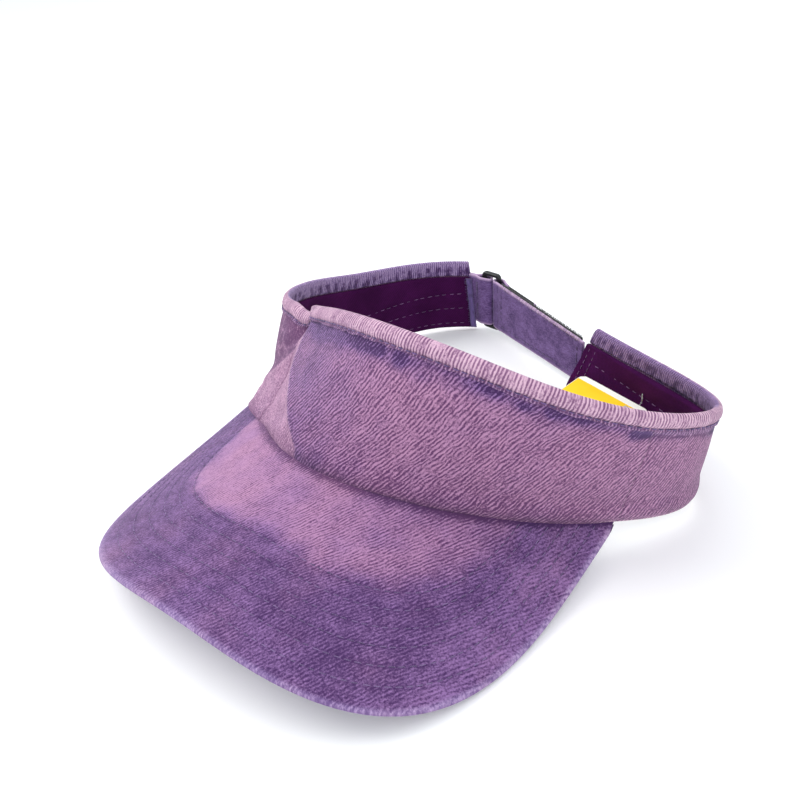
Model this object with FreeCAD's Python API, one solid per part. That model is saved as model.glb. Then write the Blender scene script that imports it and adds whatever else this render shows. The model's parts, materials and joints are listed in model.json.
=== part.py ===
"""Sun visor with a twill band, a stiffened bill and a hook-and-loop back strap, set down on a table.

Millimetres. The origin is on the table under the middle of the head opening. +Z is up, the bill points to
-Y, and +X is the wearer's left. The cloth keeps the slightly skewed, creased shape that it lies in.
"""
import FreeCAD, Part
import math
import os

V = FreeCAD.Vector

# Band. Each row of BAND is one station along the band, from the wearer's rear right end, round the front,
# to the rear left end: the foot of the outer face, then the top of the rim above it. The rim has a sharp
# crease at the station numbered CREASE.
BAND = [
    ((-49, 103.5, 1.0), (-54, 104, 39.5)),
    ((-75, 77.5, 3.0), (-73, 76, 44.5)),
    ((-89, 43.5, 3.5), (-82, 44, 50)),
    ((-93.5, 7.5, 8), (-81.5, 12.5, 59)),
    ((-84.5, -26.5, 14.5), (-68, -16.5, 67.5)),
    ((-58.5, -50.5, 22.5), (-36, -29, 73.5)),
    ((-28.5, -68, 29.5), (-10.5, -45, 86.5)),
    ((6, -72.5, 31.5), (19.5, -55.5, 93.5)),
    ((39, -63, 27.5), (53, -55.5, 91)),
    ((68, -43.5, 20), (83.5, -45, 80.5)),
    ((91.5, -17.5, 12), (106, -23, 68)),
    ((107, 13.5, 5), (114.5, 7, 56.5)),
    ((94.5, 43.5, 1), (99, 34, 46.5)),
    ((62.5, 61, 1), (70, 55, 40.5)),
    ((25.5, 69, 1.5), (39, 73, 37)),
]
LAST = len(BAND) - 1
CREASE = 5
RIGHT_SEAM = 10
STATION_STEP = 0.25
LEAST_STEP = 0.1
SEAM_GAP = 0.005

PANEL_THICK = 0.9
PANEL_BELOW_RIM = 1.0
RIM_THICK = 0.7
RIM_OUTER_DROP = 7.5
RIM_INNER_DROP = 8.0
LAYER_GAP = 0.2
SWEATBAND_THICK = 1.2
SWEATBAND_GAP = 0.3
SWEATBAND_BELOW_RIM = 8.6
SWEATBAND_LIFT = 0.5
SWEATBAND_FACE = -(PANEL_THICK + SWEATBAND_GAP)
STITCH_THICK = 0.25
STITCH_WIDTH = 0.6
STITCH_GAP = 0.05
RIM_ROW_RISE = 1.2
RIM_ROW_END = 0.05
SWEATBAND_ROWS = (3.0, 12.0, 20.5)
SWEATBAND_ROW_START = 0.05
SWEATBAND_ROW_END = 0.35
END_STRIP_STATIONS = 0.17
END_STRIP_THICK = 0.7
END_STRIP_LIFT = 1.0
END_STRIP_BELOW_SWEATBAND = 0.5
END_COLUMNS = (0.09, 0.22)
END_COLUMN_HALF = 0.012
END_COLUMN_LIFT = 2.0
END_COLUMN_BELOW_SWEATBAND = 1.0

# Bill. Its plan is a superellipse cut off behind by the curved seam, and its top face is a shallow arch.
BILL_HALF_WIDTH = 91.4
BILL_LENGTH = 108.5
BILL_CENTRE_Y = -39.5
BILL_POWER_X = 2.976
BILL_POWER_Y = 3.296
SEAM_Y = -73.0
SEAM_CURVE = 0.00627
SEAM_CLEARANCE = 0.4
BILL_TOP_Z = 31.7
BILL_SLOPE = 0.1214
BILL_UPTURN = 0.0006
BILL_ARCH = 0.0034
COVER_THICK = 0.65
BOARD_THICK = 1.3
BOARD_GAP = 0.1
BOARD_INSET = 2.5
BOARD_SEAM_INSET = 1.5
BILL_ROWS = 6
BILL_ROW_FIRST = 8.0
BILL_ROW_PITCH = 6.5
BILL_ROW_SIDE_RATIO = 0.6
BILL_ROW_SEAM_INSET = 2.0
SIDE_POINTS = 14
SEAM_HALF_POINTS = 4
SIDE_ANGLES = (0.1, math.pi / 2)
HALVINGS = 40
SLAB_CORNER = (-100.0, -160.0)
SLAB_CELL = 25.0
SLAB_CELLS = (9, 7)
PRISM_FLOOR = -20.0
PRISM_HEIGHT = 80.0

# How far a cutting tool reaches past the solid that it cuts, and the size of the blocks that trim cloth at
# the band's ends.
PAST = 1.0
BLOCK = 60.0

# Back closure: a flat ring on a sewn tab at the rear right end, and a strap from the rear left end that
# passes through the ring and folds back on itself.
RING_BAR_RADIUS = 1.3
RING_PITCH = 9.6
RING_ANGLE = -6.0
RING_LOW = 3.4
RING_HIGH = 36.6
RING_END_BAR = 2.2
RING_END_RADIUS = 1.7
RING_BAR_SINK = 1.0
TAB_BAR = V(-43.0, 103.4, 0)
BAR_CLEARANCE = 0.6
STRAP_LOW = 5.8
STRAP_HIGH = 33.3
STRAP_DROOP = 0.06
STRAP_THICK = 1.2
STRAP_HINGE = V(30, 72.4, 0)
STRAP_START = 4.0
STRAP_REACH = 80.0
STRAP_END_GAP = 0.4
TAB_ANGLE = 185.0
TAB_THICK = 1.2
TAB_REACH = 16.0
TAB_END_GAP = 0.1
TAPE_THICK = 0.9
TAPE_LOW_MARGIN = 2.0
TAPE_PROUD = 0.7
TAPE_SPAN = (5.0, 70.0)
TAPE_GRIP_GAP = 0.3
TAPE_SEWN_GAP = 0.02
TAIL_THICK = 1.0
TAIL_SPLIT = 8.0
TAIL_SPLIT_GAP = 0.3
TAIL_MARGIN = 0.5
TAIL_END = 31.0
HOOK_SPAN = (9.5, 30.5)
STITCH_INSET = 1.2
TACK_COUNT = 2
TACK_WIDTH = 0.9
TACK_THICK = 0.4
TACK_HEIGHT = 9.0
TACK_PITCH = 12.5
TACK_FIRST = 3.0
TACK_GAP = 0.1

# Paper hang tag, lying inside the head opening with its rear edge held up by a nylon pin.
TAG_CORNER = V(37.7, 60.7, 18.0)
TAG_ANGLE = -18.4
TAG_TILT = 12.5
TAG_WIDTH = 40.0
TAG_LENGTH = 80.0
TAG_THICK = 0.5
TAG_CORNER_RADIUS = 3.0
TAG_HOLE = (33.0, 5.0)
TAG_HOLE_RADIUS = 1.6
PIN_ANCHOR = V(70.6, 50.6, 24.0)
PIN_RADIUS = 0.35
PIN_HEAD_LENGTH = 6.0
PIN_HEAD_WIDTH = 1.4
PIN_HEAD_LIFT = 1.2
PIN_BELOW = -1.6
PIN_BEND = (-2.5, -1.2)


def save(name, shape):
    """Write one sub-part and say how large it is."""
    shape.exportStep("parts/" + name + ".step")
    print(name, "solids", len(shape.Solids), "volume", round(shape.Volume, 1), "valid", shape.isValid())


def station_curve(side, first, last):
    """Smooth edge curve through the band's stations, whose parameter is the station number."""
    points = [V(*BAND[i][side]) for i in range(first, last + 1)]
    curve = Part.BSplineCurve()
    curve.interpolate(Points=points, Parameters=[float(i) for i in range(first, last + 1)])
    return curve


FOOT = station_curve(0, 0, LAST)
RIM_LEFT = station_curve(1, 0, CREASE)
RIM_FRONT = station_curve(1, CREASE, LAST)


def frame_on(rim, s):
    """Foot point, unit vector up the cloth and outward normal at station s, with the given rim curve."""
    foot = FOOT.value(s)
    top = rim.value(s)
    up = (top - foot).normalize()
    along = FOOT.getD1(s)[1] + rim.getD1(s)[1]
    outward = along.cross(up).normalize()
    return foot, top, up, outward


def band_frame(s):
    """Frame at station s. At the crease the two outward normals are averaged, so the layers are mitred."""
    if abs(s - CREASE) < 1e-6:
        foot, top, up, left = frame_on(RIM_LEFT, s)
        right = frame_on(RIM_FRONT, s)[3]
        return foot, top, up, (left + right).normalize()
    return frame_on(RIM_LEFT if s < CREASE else RIM_FRONT, s)


def stations(first, last):
    """Station numbers from first to last in steps of STATION_STEP, both ends included."""
    inner = [k * STATION_STEP for k in range(int(LAST / STATION_STEP) + 1)]
    return [first] + [s for s in inner if first + LEAST_STEP < s < last - LEAST_STEP] + [last]


def band_loft(first, last, section):
    """Solid swept along the band. section(height) gives the (up, out) corners, up counted from the foot."""
    wires = []
    for s in stations(first, last):
        foot, top, up, outward = band_frame(s)
        corners = [foot + up * a + outward * b for a, b in section((top - foot).Length)]
        wires.append(Part.makePolygon(corners + corners[:1]))
    return Part.makeLoft(wires, True, False)


def band_layer(first, last, section):
    """A layer of the band, made in two lofts where it passes the crease."""
    if first < CREASE < last:
        left = band_loft(first, CREASE, section)
        return left.fuse(band_loft(CREASE, last, section))
    return band_loft(first, last, section)


def strip(low, high, inner, outer):
    """Rectangular section between two heights and two offsets from the outer face."""
    return lambda h: [(low(h), inner), (low(h), outer), (high(h), outer), (high(h), inner)]


def beyond_end(s, toward_band, gap):
    """Block that starts the given gap before the band's end at station s. toward_band is 1 or -1."""
    foot, top, up, outward = band_frame(s)
    inward = up.cross(outward) * toward_band
    start = foot - inward * gap
    square = [(-BLOCK, -BLOCK), (-BLOCK, BLOCK), (BLOCK, BLOCK), (BLOCK, -BLOCK)]
    corners = [start + up * a + outward * b for a, b in square]
    return Part.Face(Part.makePolygon(corners + corners[:1])).extrude(inward * BLOCK)


def make_panels():
    """The three outer twill panels: the front and the two sides, sewn together at the crease and the seam."""
    section = strip(lambda h: 0.0, lambda h: h - PANEL_BELOW_RIM, -PANEL_THICK, 0.0)
    save("side_panel_right", band_loft(0.0, CREASE - SEAM_GAP, section))
    save("front_panel", band_loft(CREASE + SEAM_GAP, RIGHT_SEAM - SEAM_GAP, section))
    save("side_panel_left", band_loft(RIGHT_SEAM + SEAM_GAP, LAST, section))


def make_rim():
    """The binding folded over the rim, and its row of stitches."""
    out_in = LAYER_GAP
    out_out = LAYER_GAP + RIM_THICK
    in_out = -(PANEL_THICK + LAYER_GAP)
    in_in = in_out - RIM_THICK

    def section(height):
        fold = height - RIM_THICK
        outer_leg = [(height - RIM_OUTER_DROP, out_in), (height - RIM_OUTER_DROP, out_out), (height, out_out)]
        inner_leg = [(height, in_in), (height - RIM_INNER_DROP, in_in), (height - RIM_INNER_DROP, in_out)]
        return outer_leg + inner_leg + [(fold, in_out), (fold, out_in)]

    save("rim_binding", band_layer(0.0, LAST, section))
    row = RIM_OUTER_DROP - RIM_ROW_RISE
    face = out_out + STITCH_GAP
    section = strip(lambda h: h - row, lambda h: h - row + STITCH_WIDTH, face, face + STITCH_THICK)
    save("rim_stitching", band_layer(RIM_ROW_END, LAST - RIM_ROW_END, section))


def make_sweatband():
    """The dark inner band against the head, its rows of quilting stitches and the strips at its two ends."""
    inner = SWEATBAND_FACE - SWEATBAND_THICK
    section = strip(lambda h: SWEATBAND_LIFT, lambda h: h - SWEATBAND_BELOW_RIM, inner, SWEATBAND_FACE)
    save("sweatband", band_layer(0.0, LAST, section))
    face = inner - STITCH_GAP
    rows = []
    for height in SWEATBAND_ROWS:
        row = strip(lambda h: height, lambda h: height + STITCH_WIDTH, face - STITCH_THICK, face)
        rows.append(band_layer(END_STRIP_STATIONS + SWEATBAND_ROW_START, LAST - SWEATBAND_ROW_END, row))
    save("sweatband_stitching", Part.makeCompound(rows))
    drop = SWEATBAND_BELOW_RIM + END_STRIP_BELOW_SWEATBAND
    tall = strip(lambda h: END_STRIP_LIFT, lambda h: h - drop, face - END_STRIP_THICK, face)
    save("end_strip_right", band_loft(0.0, END_STRIP_STATIONS, tall))
    drop = SWEATBAND_BELOW_RIM + END_COLUMN_BELOW_SWEATBAND
    column = strip(lambda h: END_COLUMN_LIFT, lambda h: h - drop, face - STITCH_THICK, face)
    columns = []
    for back in END_COLUMNS:
        s = LAST - back
        columns.append(band_loft(s - END_COLUMN_HALF, s + END_COLUMN_HALF, column))
    save("end_stitching_left", Part.makeCompound(columns))


def bill_height(x, y):
    """Height of the bill's top face."""
    ahead = SEAM_Y - y
    return BILL_TOP_Z - BILL_SLOPE * ahead + BILL_UPTURN * ahead ** 2 - BILL_ARCH * x ** 2


def bill_slab(top, thick):
    """Sheet that follows the bill's top face, its upper side raised by top and thick deep."""
    grid = []
    for i in range(SLAB_CELLS[0]):
        x = SLAB_CORNER[0] + SLAB_CELL * i
        places = [SLAB_CORNER[1] + SLAB_CELL * j for j in range(SLAB_CELLS[1])]
        grid.append([V(x, y, bill_height(x, y) + top) for y in places])
    surface = Part.BSplineSurface()
    surface.interpolate(grid)
    return surface.toShape().extrude(V(0, 0, -thick))


def bill_plan(front_inset, side_inset, seam_inset):
    """Upright prism on the bill's outline, drawn in by the three insets."""
    half = BILL_HALF_WIDTH - side_inset
    length = BILL_LENGTH - front_inset
    seam = SEAM_Y - SEAM_CLEARANCE - seam_inset

    def front_point(angle):
        x = half * math.sin(angle) ** (2 / BILL_POWER_X)
        y = BILL_CENTRE_Y - length * math.cos(angle) ** (2 / BILL_POWER_Y)
        return V(x, y, PRISM_FLOOR)

    def seam_point(x):
        return V(x, seam + SEAM_CURVE * x * x, PRISM_FLOOR)

    low, high = SIDE_ANGLES
    for _ in range(HALVINGS):
        middle = (low + high) / 2
        point = front_point(middle)
        if point.y < seam_point(point.x).y:
            low = middle
        else:
            high = middle
    side = [front_point(low * k / SIDE_POINTS) for k in range(SIDE_POINTS + 1)]
    outline = [V(-p.x, p.y, p.z) for p in reversed(side[1:])] + side
    front = Part.BSplineCurve()
    front.interpolate(outline)
    edges = [front.toShape()]
    tip = side[-1].x
    corners = [outline[-1], outline[0]]
    if seam_point(half).y > BILL_CENTRE_Y:
        tip = half
        corners = [seam_point(half), seam_point(-half)]
        edges += [Part.makeLine(outline[-1], corners[0]), Part.makeLine(outline[0], corners[1])]
    seam_line = [seam_point(tip * (1 - k / SEAM_HALF_POINTS)) for k in range(2 * SEAM_HALF_POINTS + 1)]
    back = Part.BSplineCurve()
    back.interpolate(corners[:1] + seam_line[1:-1] + corners[1:])
    wire = Part.Wire(Part.__sortEdges__(edges + [back.toShape()]))
    return Part.Face(wire).extrude(V(0, 0, PRISM_HEIGHT))


def make_bill():
    """The bill: a board between two twill covers, whose edge allowance is turned in round the board."""
    outline = bill_plan(0, 0, 0)
    save("bill_top_cover", outline.common(bill_slab(0, COVER_THICK)))
    under_top = -(COVER_THICK + BOARD_GAP)
    tray = outline.common(bill_slab(under_top, BOARD_THICK + BOARD_GAP + COVER_THICK))
    hollow = bill_slab(under_top + PAST, BOARD_THICK + BOARD_GAP + PAST)
    pocket = bill_plan(BOARD_INSET, BOARD_INSET, BOARD_SEAM_INSET).common(hollow)
    save("bill_under_cover", tray.cut(pocket))
    inset = BOARD_INSET + BOARD_GAP
    board = bill_plan(inset, inset, BOARD_SEAM_INSET + BOARD_GAP).common(bill_slab(under_top, BOARD_THICK))
    save("bill_board", board)
    rows = []
    for k in range(BILL_ROWS):
        front = BILL_ROW_FIRST + k * BILL_ROW_PITCH
        side = front * BILL_ROW_SIDE_RATIO
        outer = bill_plan(front, side, BILL_ROW_SEAM_INSET)
        inner = bill_plan(front + STITCH_WIDTH, side + STITCH_WIDTH, 0.0)
        rows.append(outer.cut(inner).common(bill_slab(STITCH_GAP + STITCH_THICK, STITCH_THICK)))
    save("bill_stitching", Part.makeCompound(rows))


def turned(degrees):
    """Unit vector in the plan at an angle from +X."""
    return V(math.cos(math.radians(degrees)), math.sin(math.radians(degrees)), 0)


def upright(origin, along, corners, offset, thick):
    """Upright plate with (distance, height) corners, from offset to offset + thick off the origin's plane."""
    out = V(0, 0, 1).cross(along)
    base = [origin + along * a + V(0, 0, z) + out * offset for a, z in corners]
    return Part.Face(Part.makePolygon(base + base[:1])).extrude(out * thick)


def plate(origin, along, span, low, high, offset, thick):
    """Upright rectangular plate."""
    corners = [(span[0], low), (span[1], low), (span[1], high), (span[0], high)]
    return upright(origin, along, corners, offset, thick)


def strap_high(distance):
    """Height of the strap's upper edge at a distance from the ring bar."""
    return STRAP_HIGH - STRAP_DROOP * max(distance, 0.0)


def leaf(span, low_margin, high_margin, offset, thick):
    """Plate along the strap that keeps the given margins inside the strap's edges."""
    low = STRAP_LOW + low_margin
    corners = [(span[0], low), (span[1], low)]
    corners.append((span[1], strap_high(span[1]) - high_margin))
    corners.append((span[0], strap_high(span[0]) - high_margin))
    return upright(STRAP_BAR, STRAP_DIR, corners, offset, thick)


def tape(span, offset):
    """Hook or loop tape. Its upper edge stands a little proud of the strap's."""
    return leaf(span, TAPE_LOW_MARGIN, -TAPE_PROUD, offset, TAPE_THICK)


def tape_stitches(span, offset):
    """Rectangular run of stitches just inside the edge of a tape."""
    thin = STITCH_INSET + STITCH_WIDTH
    outer = (span[0] + STITCH_INSET, span[1] - STITCH_INSET)
    inner = (span[0] + thin, span[1] - thin)
    whole = leaf(outer, TAPE_LOW_MARGIN + STITCH_INSET, STITCH_INSET, offset, STITCH_THICK)
    return whole.cut(leaf(inner, TAPE_LOW_MARGIN + thin, thin, offset - PAST, STITCH_THICK + 2 * PAST))


RING_DIR = turned(RING_ANGLE)
STRAP_BAR = TAB_BAR + RING_DIR * RING_PITCH
LEG_OFFSET = RING_BAR_RADIUS + BAR_CLEARANCE + STRAP_THICK / 2
TO_HINGE = STRAP_HINGE - STRAP_BAR
STRAP_ANGLE = math.degrees(math.atan2(TO_HINGE.y, TO_HINGE.x) + math.asin(LEG_OFFSET / TO_HINGE.Length))
STRAP_DIR = turned(STRAP_ANGLE)
LEG_FACE = RING_BAR_RADIUS + BAR_CLEARANCE
LEG_INNER = -LEG_FACE - STRAP_THICK
LOOP_OFFSET = -LEG_FACE + TAPE_SEWN_GAP
HOOK_OFFSET = LOOP_OFFSET + TAPE_THICK + TAPE_GRIP_GAP
TAIL_OFFSET = HOOK_OFFSET + TAPE_THICK + TAPE_SEWN_GAP


def make_ring():
    """The moulded ring: two round upright bars joined by two flat end bars."""
    height = RING_HIGH - RING_LOW - 2 * RING_BAR_SINK
    lift = V(0, 0, RING_LOW + RING_BAR_SINK)
    ring = Part.makeCylinder(RING_BAR_RADIUS, height, TAB_BAR + lift)
    ring = ring.fuse(Part.makeCylinder(RING_BAR_RADIUS, height, STRAP_BAR + lift))
    for low in (RING_LOW, RING_HIGH - RING_END_BAR):
        high = low + RING_END_BAR
        bar = plate(TAB_BAR, RING_DIR, (0, RING_PITCH), low, high, -RING_END_RADIUS, 2 * RING_END_RADIUS)
        for centre in (TAB_BAR, STRAP_BAR):
            bar = bar.fuse(Part.makeCylinder(RING_END_RADIUS, RING_END_BAR, centre + V(0, 0, low)))
        ring = ring.fuse(bar)
    save("ring", ring.removeSplitter())


def make_tab():
    """The cloth tab: a sleeve round the ring's first bar, a web to the band's end, and its bar tacks."""
    height = STRAP_HIGH - STRAP_LOW
    foot = TAB_BAR + V(0, 0, STRAP_LOW)
    away = turned(TAB_ANGLE)
    web = plate(TAB_BAR, away, (LEG_FACE, TAB_REACH), STRAP_LOW, STRAP_HIGH, -TAB_THICK, 2 * TAB_THICK)
    web = web.cut(beyond_end(0.0, 1, TAB_END_GAP))
    sleeve = Part.makeCylinder(LEG_FACE + TAB_THICK, height, foot).fuse(web)
    save("ring_tab", sleeve.cut(Part.makeCylinder(LEG_FACE, height + 2 * PAST, foot - V(0, 0, PAST))))
    tacks = []
    near = LEG_FACE + TAB_THICK + TACK_GAP
    for k in range(TACK_COUNT):
        low = STRAP_LOW + TACK_FIRST + k * TACK_PITCH
        span = (near, near + TACK_WIDTH)
        tacks.append(plate(TAB_BAR, away, span, low, low + TACK_HEIGHT, -TAB_THICK - STITCH_GAP, -TACK_THICK))
    save("tab_bar_tacks", Part.makeCompound(tacks))


def make_strap():
    """The strap's inner leg, the loop tape on its outer face and the tape's stitches."""
    leg = leaf((STRAP_START, STRAP_REACH), 0.0, 0.0, LEG_INNER, STRAP_THICK)
    save("strap", leg.cut(beyond_end(float(LAST), -1, STRAP_END_GAP)))
    save("loop_tape", tape(TAPE_SPAN, LOOP_OFFSET))
    save("loop_tape_stitching", tape_stitches(TAPE_SPAN, LEG_INNER - STITCH_GAP - STITCH_THICK))


def make_tail():
    """The strap's fold round the ring bar, its tail and the hook patch that grips the loop tape."""
    height = STRAP_HIGH - STRAP_LOW
    foot = STRAP_BAR + V(0, 0, STRAP_LOW)
    outer = LEG_FACE + TAIL_THICK
    fold = Part.makeCylinder(outer, height, foot)
    fold = fold.cut(Part.makeCylinder(LEG_FACE, height + 2 * PAST, foot - V(0, 0, PAST)))
    span = (0, 2 * outer)
    far_half = plate(STRAP_BAR, STRAP_DIR, span, STRAP_LOW - PAST, STRAP_HIGH + PAST, -2 * outer, 4 * outer)
    fold = fold.cut(far_half)
    out = V(0, 0, 1).cross(STRAP_DIR)
    plan = [(0, LEG_FACE), (TAIL_SPLIT, TAIL_OFFSET), (TAIL_SPLIT, TAIL_OFFSET + TAIL_THICK), (0, outer)]
    ramp = [foot + STRAP_DIR * a + out * b for a, b in plan]
    run = Part.Face(Part.makePolygon(ramp + ramp[:1])).extrude(V(0, 0, height))
    save("tail_base", fold.fuse(run).removeSplitter())
    span = (TAIL_SPLIT + TAIL_SPLIT_GAP, TAIL_END)
    save("tail_end", leaf(span, TAIL_MARGIN, TAIL_MARGIN, TAIL_OFFSET, TAIL_THICK))
    save("hook_patch", tape(HOOK_SPAN, HOOK_OFFSET))
    save("hook_patch_stitching", tape_stitches(HOOK_SPAN, TAIL_OFFSET + TAIL_THICK + STITCH_GAP))


def tag_point(across, down, lift=0.0):
    """Point on the tag, measured from its rear corner across, down its length and up off its lower face."""
    side = turned(TAG_ANGLE)
    tilt = math.radians(TAG_TILT)
    forward = turned(TAG_ANGLE - 90) * math.cos(tilt) - V(0, 0, math.sin(tilt))
    normal = side.cross(forward).normalize() * -1
    return TAG_CORNER + side * across + forward * down + normal * lift


def make_tag():
    """The hang tag with its punched hole, and the nylon pin that ties it to the sweatband."""
    r = TAG_CORNER_RADIUS
    c = r * (1 - math.sqrt(0.5))
    w = TAG_WIDTH
    n = TAG_LENGTH
    turns = [
        ((0, r), (c, c), (r, 0)),
        ((w - r, 0), (w - c, c), (w, r)),
        ((w, n - r), (w - c, n - c), (w - r, n)),
        ((r, n), (c, n - c), (0, n - r)),
    ]
    edges = []
    for k in range(4):
        start, middle, end = [tag_point(*p) for p in turns[k]]
        edges.append(Part.Arc(start, middle, end).toShape())
        edges.append(Part.makeLine(end, tag_point(*turns[(k + 1) % 4][0])))
    normal = tag_point(0, 0, 1) - tag_point(0, 0)
    card = Part.Face(Part.Wire(edges)).extrude(normal * TAG_THICK)
    hole = Part.makeCylinder(TAG_HOLE_RADIUS, TAG_THICK + 2 * PAST, tag_point(*TAG_HOLE, -PAST), normal)
    save("hang_tag", card.cut(hole))
    head = tag_point(*TAG_HOLE, PIN_HEAD_LIFT)
    below = tag_point(*TAG_HOLE, PIN_BELOW)
    bend = tag_point(TAG_HOLE[0], *PIN_BEND)
    ends = [head, below, bend, PIN_ANCHOR]
    pin = Part.makeSphere(PIN_RADIUS, PIN_ANCHOR)
    for a, b in zip(ends[:-1], ends[1:]):
        pin = pin.fuse(Part.makeCylinder(PIN_RADIUS, (b - a).Length, a, b - a))
        pin = pin.fuse(Part.makeSphere(PIN_RADIUS, a))
    side = turned(TAG_ANGLE)
    start = head - side * (PIN_HEAD_LENGTH / 2)
    paddle = Part.makeCylinder(PIN_HEAD_WIDTH / 2, PIN_HEAD_LENGTH, start, side)
    save("tag_pin", pin.fuse(paddle))


os.makedirs("parts", exist_ok=True)
make_panels()
make_rim()
make_sweatband()
make_bill()
make_ring()
make_tab()
make_strap()
make_tail()
make_tag()
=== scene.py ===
import json
import math

import bmesh
import bpy
import numpy as np
from mathutils import Matrix, Vector


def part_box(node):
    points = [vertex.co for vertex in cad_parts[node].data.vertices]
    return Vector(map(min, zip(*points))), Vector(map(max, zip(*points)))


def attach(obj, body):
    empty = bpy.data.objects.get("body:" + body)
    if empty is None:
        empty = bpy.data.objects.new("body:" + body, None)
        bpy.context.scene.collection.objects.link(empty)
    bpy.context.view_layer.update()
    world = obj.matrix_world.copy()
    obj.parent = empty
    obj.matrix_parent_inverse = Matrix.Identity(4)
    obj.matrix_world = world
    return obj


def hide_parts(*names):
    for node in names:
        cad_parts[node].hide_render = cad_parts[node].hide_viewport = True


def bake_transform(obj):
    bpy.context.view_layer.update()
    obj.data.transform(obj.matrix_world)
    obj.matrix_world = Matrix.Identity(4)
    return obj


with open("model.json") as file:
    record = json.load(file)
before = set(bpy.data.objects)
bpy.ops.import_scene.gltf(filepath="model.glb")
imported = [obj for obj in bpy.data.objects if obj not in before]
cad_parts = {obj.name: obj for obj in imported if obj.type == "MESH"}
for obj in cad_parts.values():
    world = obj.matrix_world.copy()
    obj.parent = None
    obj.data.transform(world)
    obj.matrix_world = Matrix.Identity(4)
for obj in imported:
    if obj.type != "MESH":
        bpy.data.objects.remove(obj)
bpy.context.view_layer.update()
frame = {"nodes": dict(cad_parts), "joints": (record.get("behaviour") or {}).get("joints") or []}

# Looks of a washed-twill sun visor, in metres, in the CAD model's frame. The band's pieces are all built from one
# surface, read from the CAD panels: u runs along the band from the wearer's rear right end, v up the cloth from its
# foot, and "off" outwards from the panels' outer face.

MM = 0.001
SCENE = bpy.context.scene


# ---------------------------------------------------------------- numbers

def srgb(red, green, blue):
    """Linear colour with alpha from 0..255 screen values."""
    c = np.array([red, green, blue]) / 255
    linear = np.where(c <= 0.04045, c / 12.92, ((c + 0.055) / 1.055) ** 2.4)
    return (*linear.tolist(), 1.0)


def smooth(x):
    """Smooth step from 0 at x = 0 to 1 at x = 1."""
    x = np.clip(x, 0, 1)
    return x * x * (3 - 2 * x)


def step(x, start, width):
    """Smooth step over lengths in millimetres: 0 at start, 1 at start + width. A negative width steps downwards."""
    return smooth((x - start * MM) / (width * MM))


def hill(x, centre, width):
    """Bell of height 1, its centre and width in millimetres."""
    return np.exp(-((x - centre * MM) / (width * MM)) ** 2)


def like(values, grid):
    """The values spread over the shape of a grid."""
    return np.broadcast_to(values, grid.shape)


def scatter(count, row, seed):
    """One repeatable number from -1 to 1 for each of count things."""
    return lattice(np.arange(count), np.full(count, row, np.int64), seed)


def lattice(i, j, seed):
    """Repeatable number from -1 to 1 for each cell (i, j)."""
    h = (i * 374761393 + j * 668265263 + seed * 144269504) & 0xFFFFFFFF
    h = ((h ^ (h >> 13)) * 1274126177) & 0xFFFFFFFF
    return ((h ^ (h >> 16)) & 0xFFFF) / 32767.5 - 1


def noise(x, y, seed):
    """Smooth value noise from -1 to 1, one cell per unit."""
    x, y = np.broadcast_arrays(np.asarray(x, float), np.asarray(y, float))
    i, j = np.floor(x).astype(np.int64), np.floor(y).astype(np.int64)
    fx, fy = smooth(x - i), smooth(y - j)
    low = lattice(i, j, seed) * (1 - fx) + lattice(i + 1, j, seed) * fx
    high = lattice(i, j + 1, seed) * (1 - fx) + lattice(i + 1, j + 1, seed) * fx
    return low * (1 - fy) + high * fy


def unit(v):
    """Vectors scaled to length 1."""
    return v / np.maximum(np.linalg.norm(v, axis=-1, keepdims=True), 1e-12)


def blur(values, sigma):
    """Gaussian smoothing along the first axis that keeps both end values. sigma is in samples."""
    reach = int(math.ceil(3 * sigma))
    kernel = np.exp(-0.5 * (np.arange(-reach, reach + 1) / sigma) ** 2)
    kernel /= kernel.sum()
    flat = values.reshape(len(values), -1)
    before = 2 * flat[:1] - flat[reach:0:-1]
    after = 2 * flat[-1:] - flat[-2:-reach - 2:-1]
    padded = np.concatenate([before, flat, after])
    out = np.stack([np.convolve(padded[:, k], kernel, "valid") for k in range(flat.shape[1])], 1)
    return out.reshape(values.shape)


def lengths(points):
    """Distance along a polyline at each of its points."""
    return np.concatenate([[0], np.cumsum(np.linalg.norm(np.diff(points, axis=0), axis=1))])


def area_under(heights, along):
    """Area of a strip with the given heights at places along it."""
    return float((0.5 * (heights[1:] + heights[:-1]) * np.diff(along)).sum())


def resample(points, count):
    """The polyline at count evenly spaced places."""
    at = lengths(points)
    want = np.linspace(0, at[-1], count)
    return np.stack([np.interp(want, at, points[:, k]) for k in range(points.shape[1])], 1)


def furthest(inside, count, most, rounds):
    """For each of count things the greatest number below most at which inside(numbers) holds, by halving."""
    low, high = np.zeros(count), np.full(count, most)
    for _ in range(rounds):
        middle = (low + high) / 2
        held = inside(middle)
        low, high = np.where(held, middle, low), np.where(held, high, middle)
    return (low + high) / 2


def sharp_chains(node):
    """The sharp edge lines of a CAD node, each a polyline from corner to corner, longest first."""
    bm = bmesh.new()
    bm.from_mesh(frame["nodes"][node].data)
    bmesh.ops.remove_doubles(bm, verts=bm.verts, dist=1e-6)
    sharp = {e for e in bm.edges if len(e.link_faces) == 2 and e.calc_face_angle(0.0) > 0.8}
    meeting = {v: [e for e in v.link_edges if e in sharp] for v in bm.verts}
    corners = [v for v in bm.verts if len(meeting[v]) >= 3]
    chains = []
    used = set()
    for corner in corners:
        for edge in meeting[corner]:
            if edge in used:
                continue
            used.add(edge)
            at = edge.other_vert(corner)
            line = [corner, at]
            while len(meeting[at]) == 2:
                edge = next(e for e in meeting[at] if e is not edge)
                used.add(edge)
                at = edge.other_vert(at)
                line.append(at)
            chains.append(np.array([v.co[:] for v in line]))
    bm.free()
    return sorted(chains, key=lambda c: -lengths(c)[-1])


# ---------------------------------------------------------------- mesh making

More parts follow.
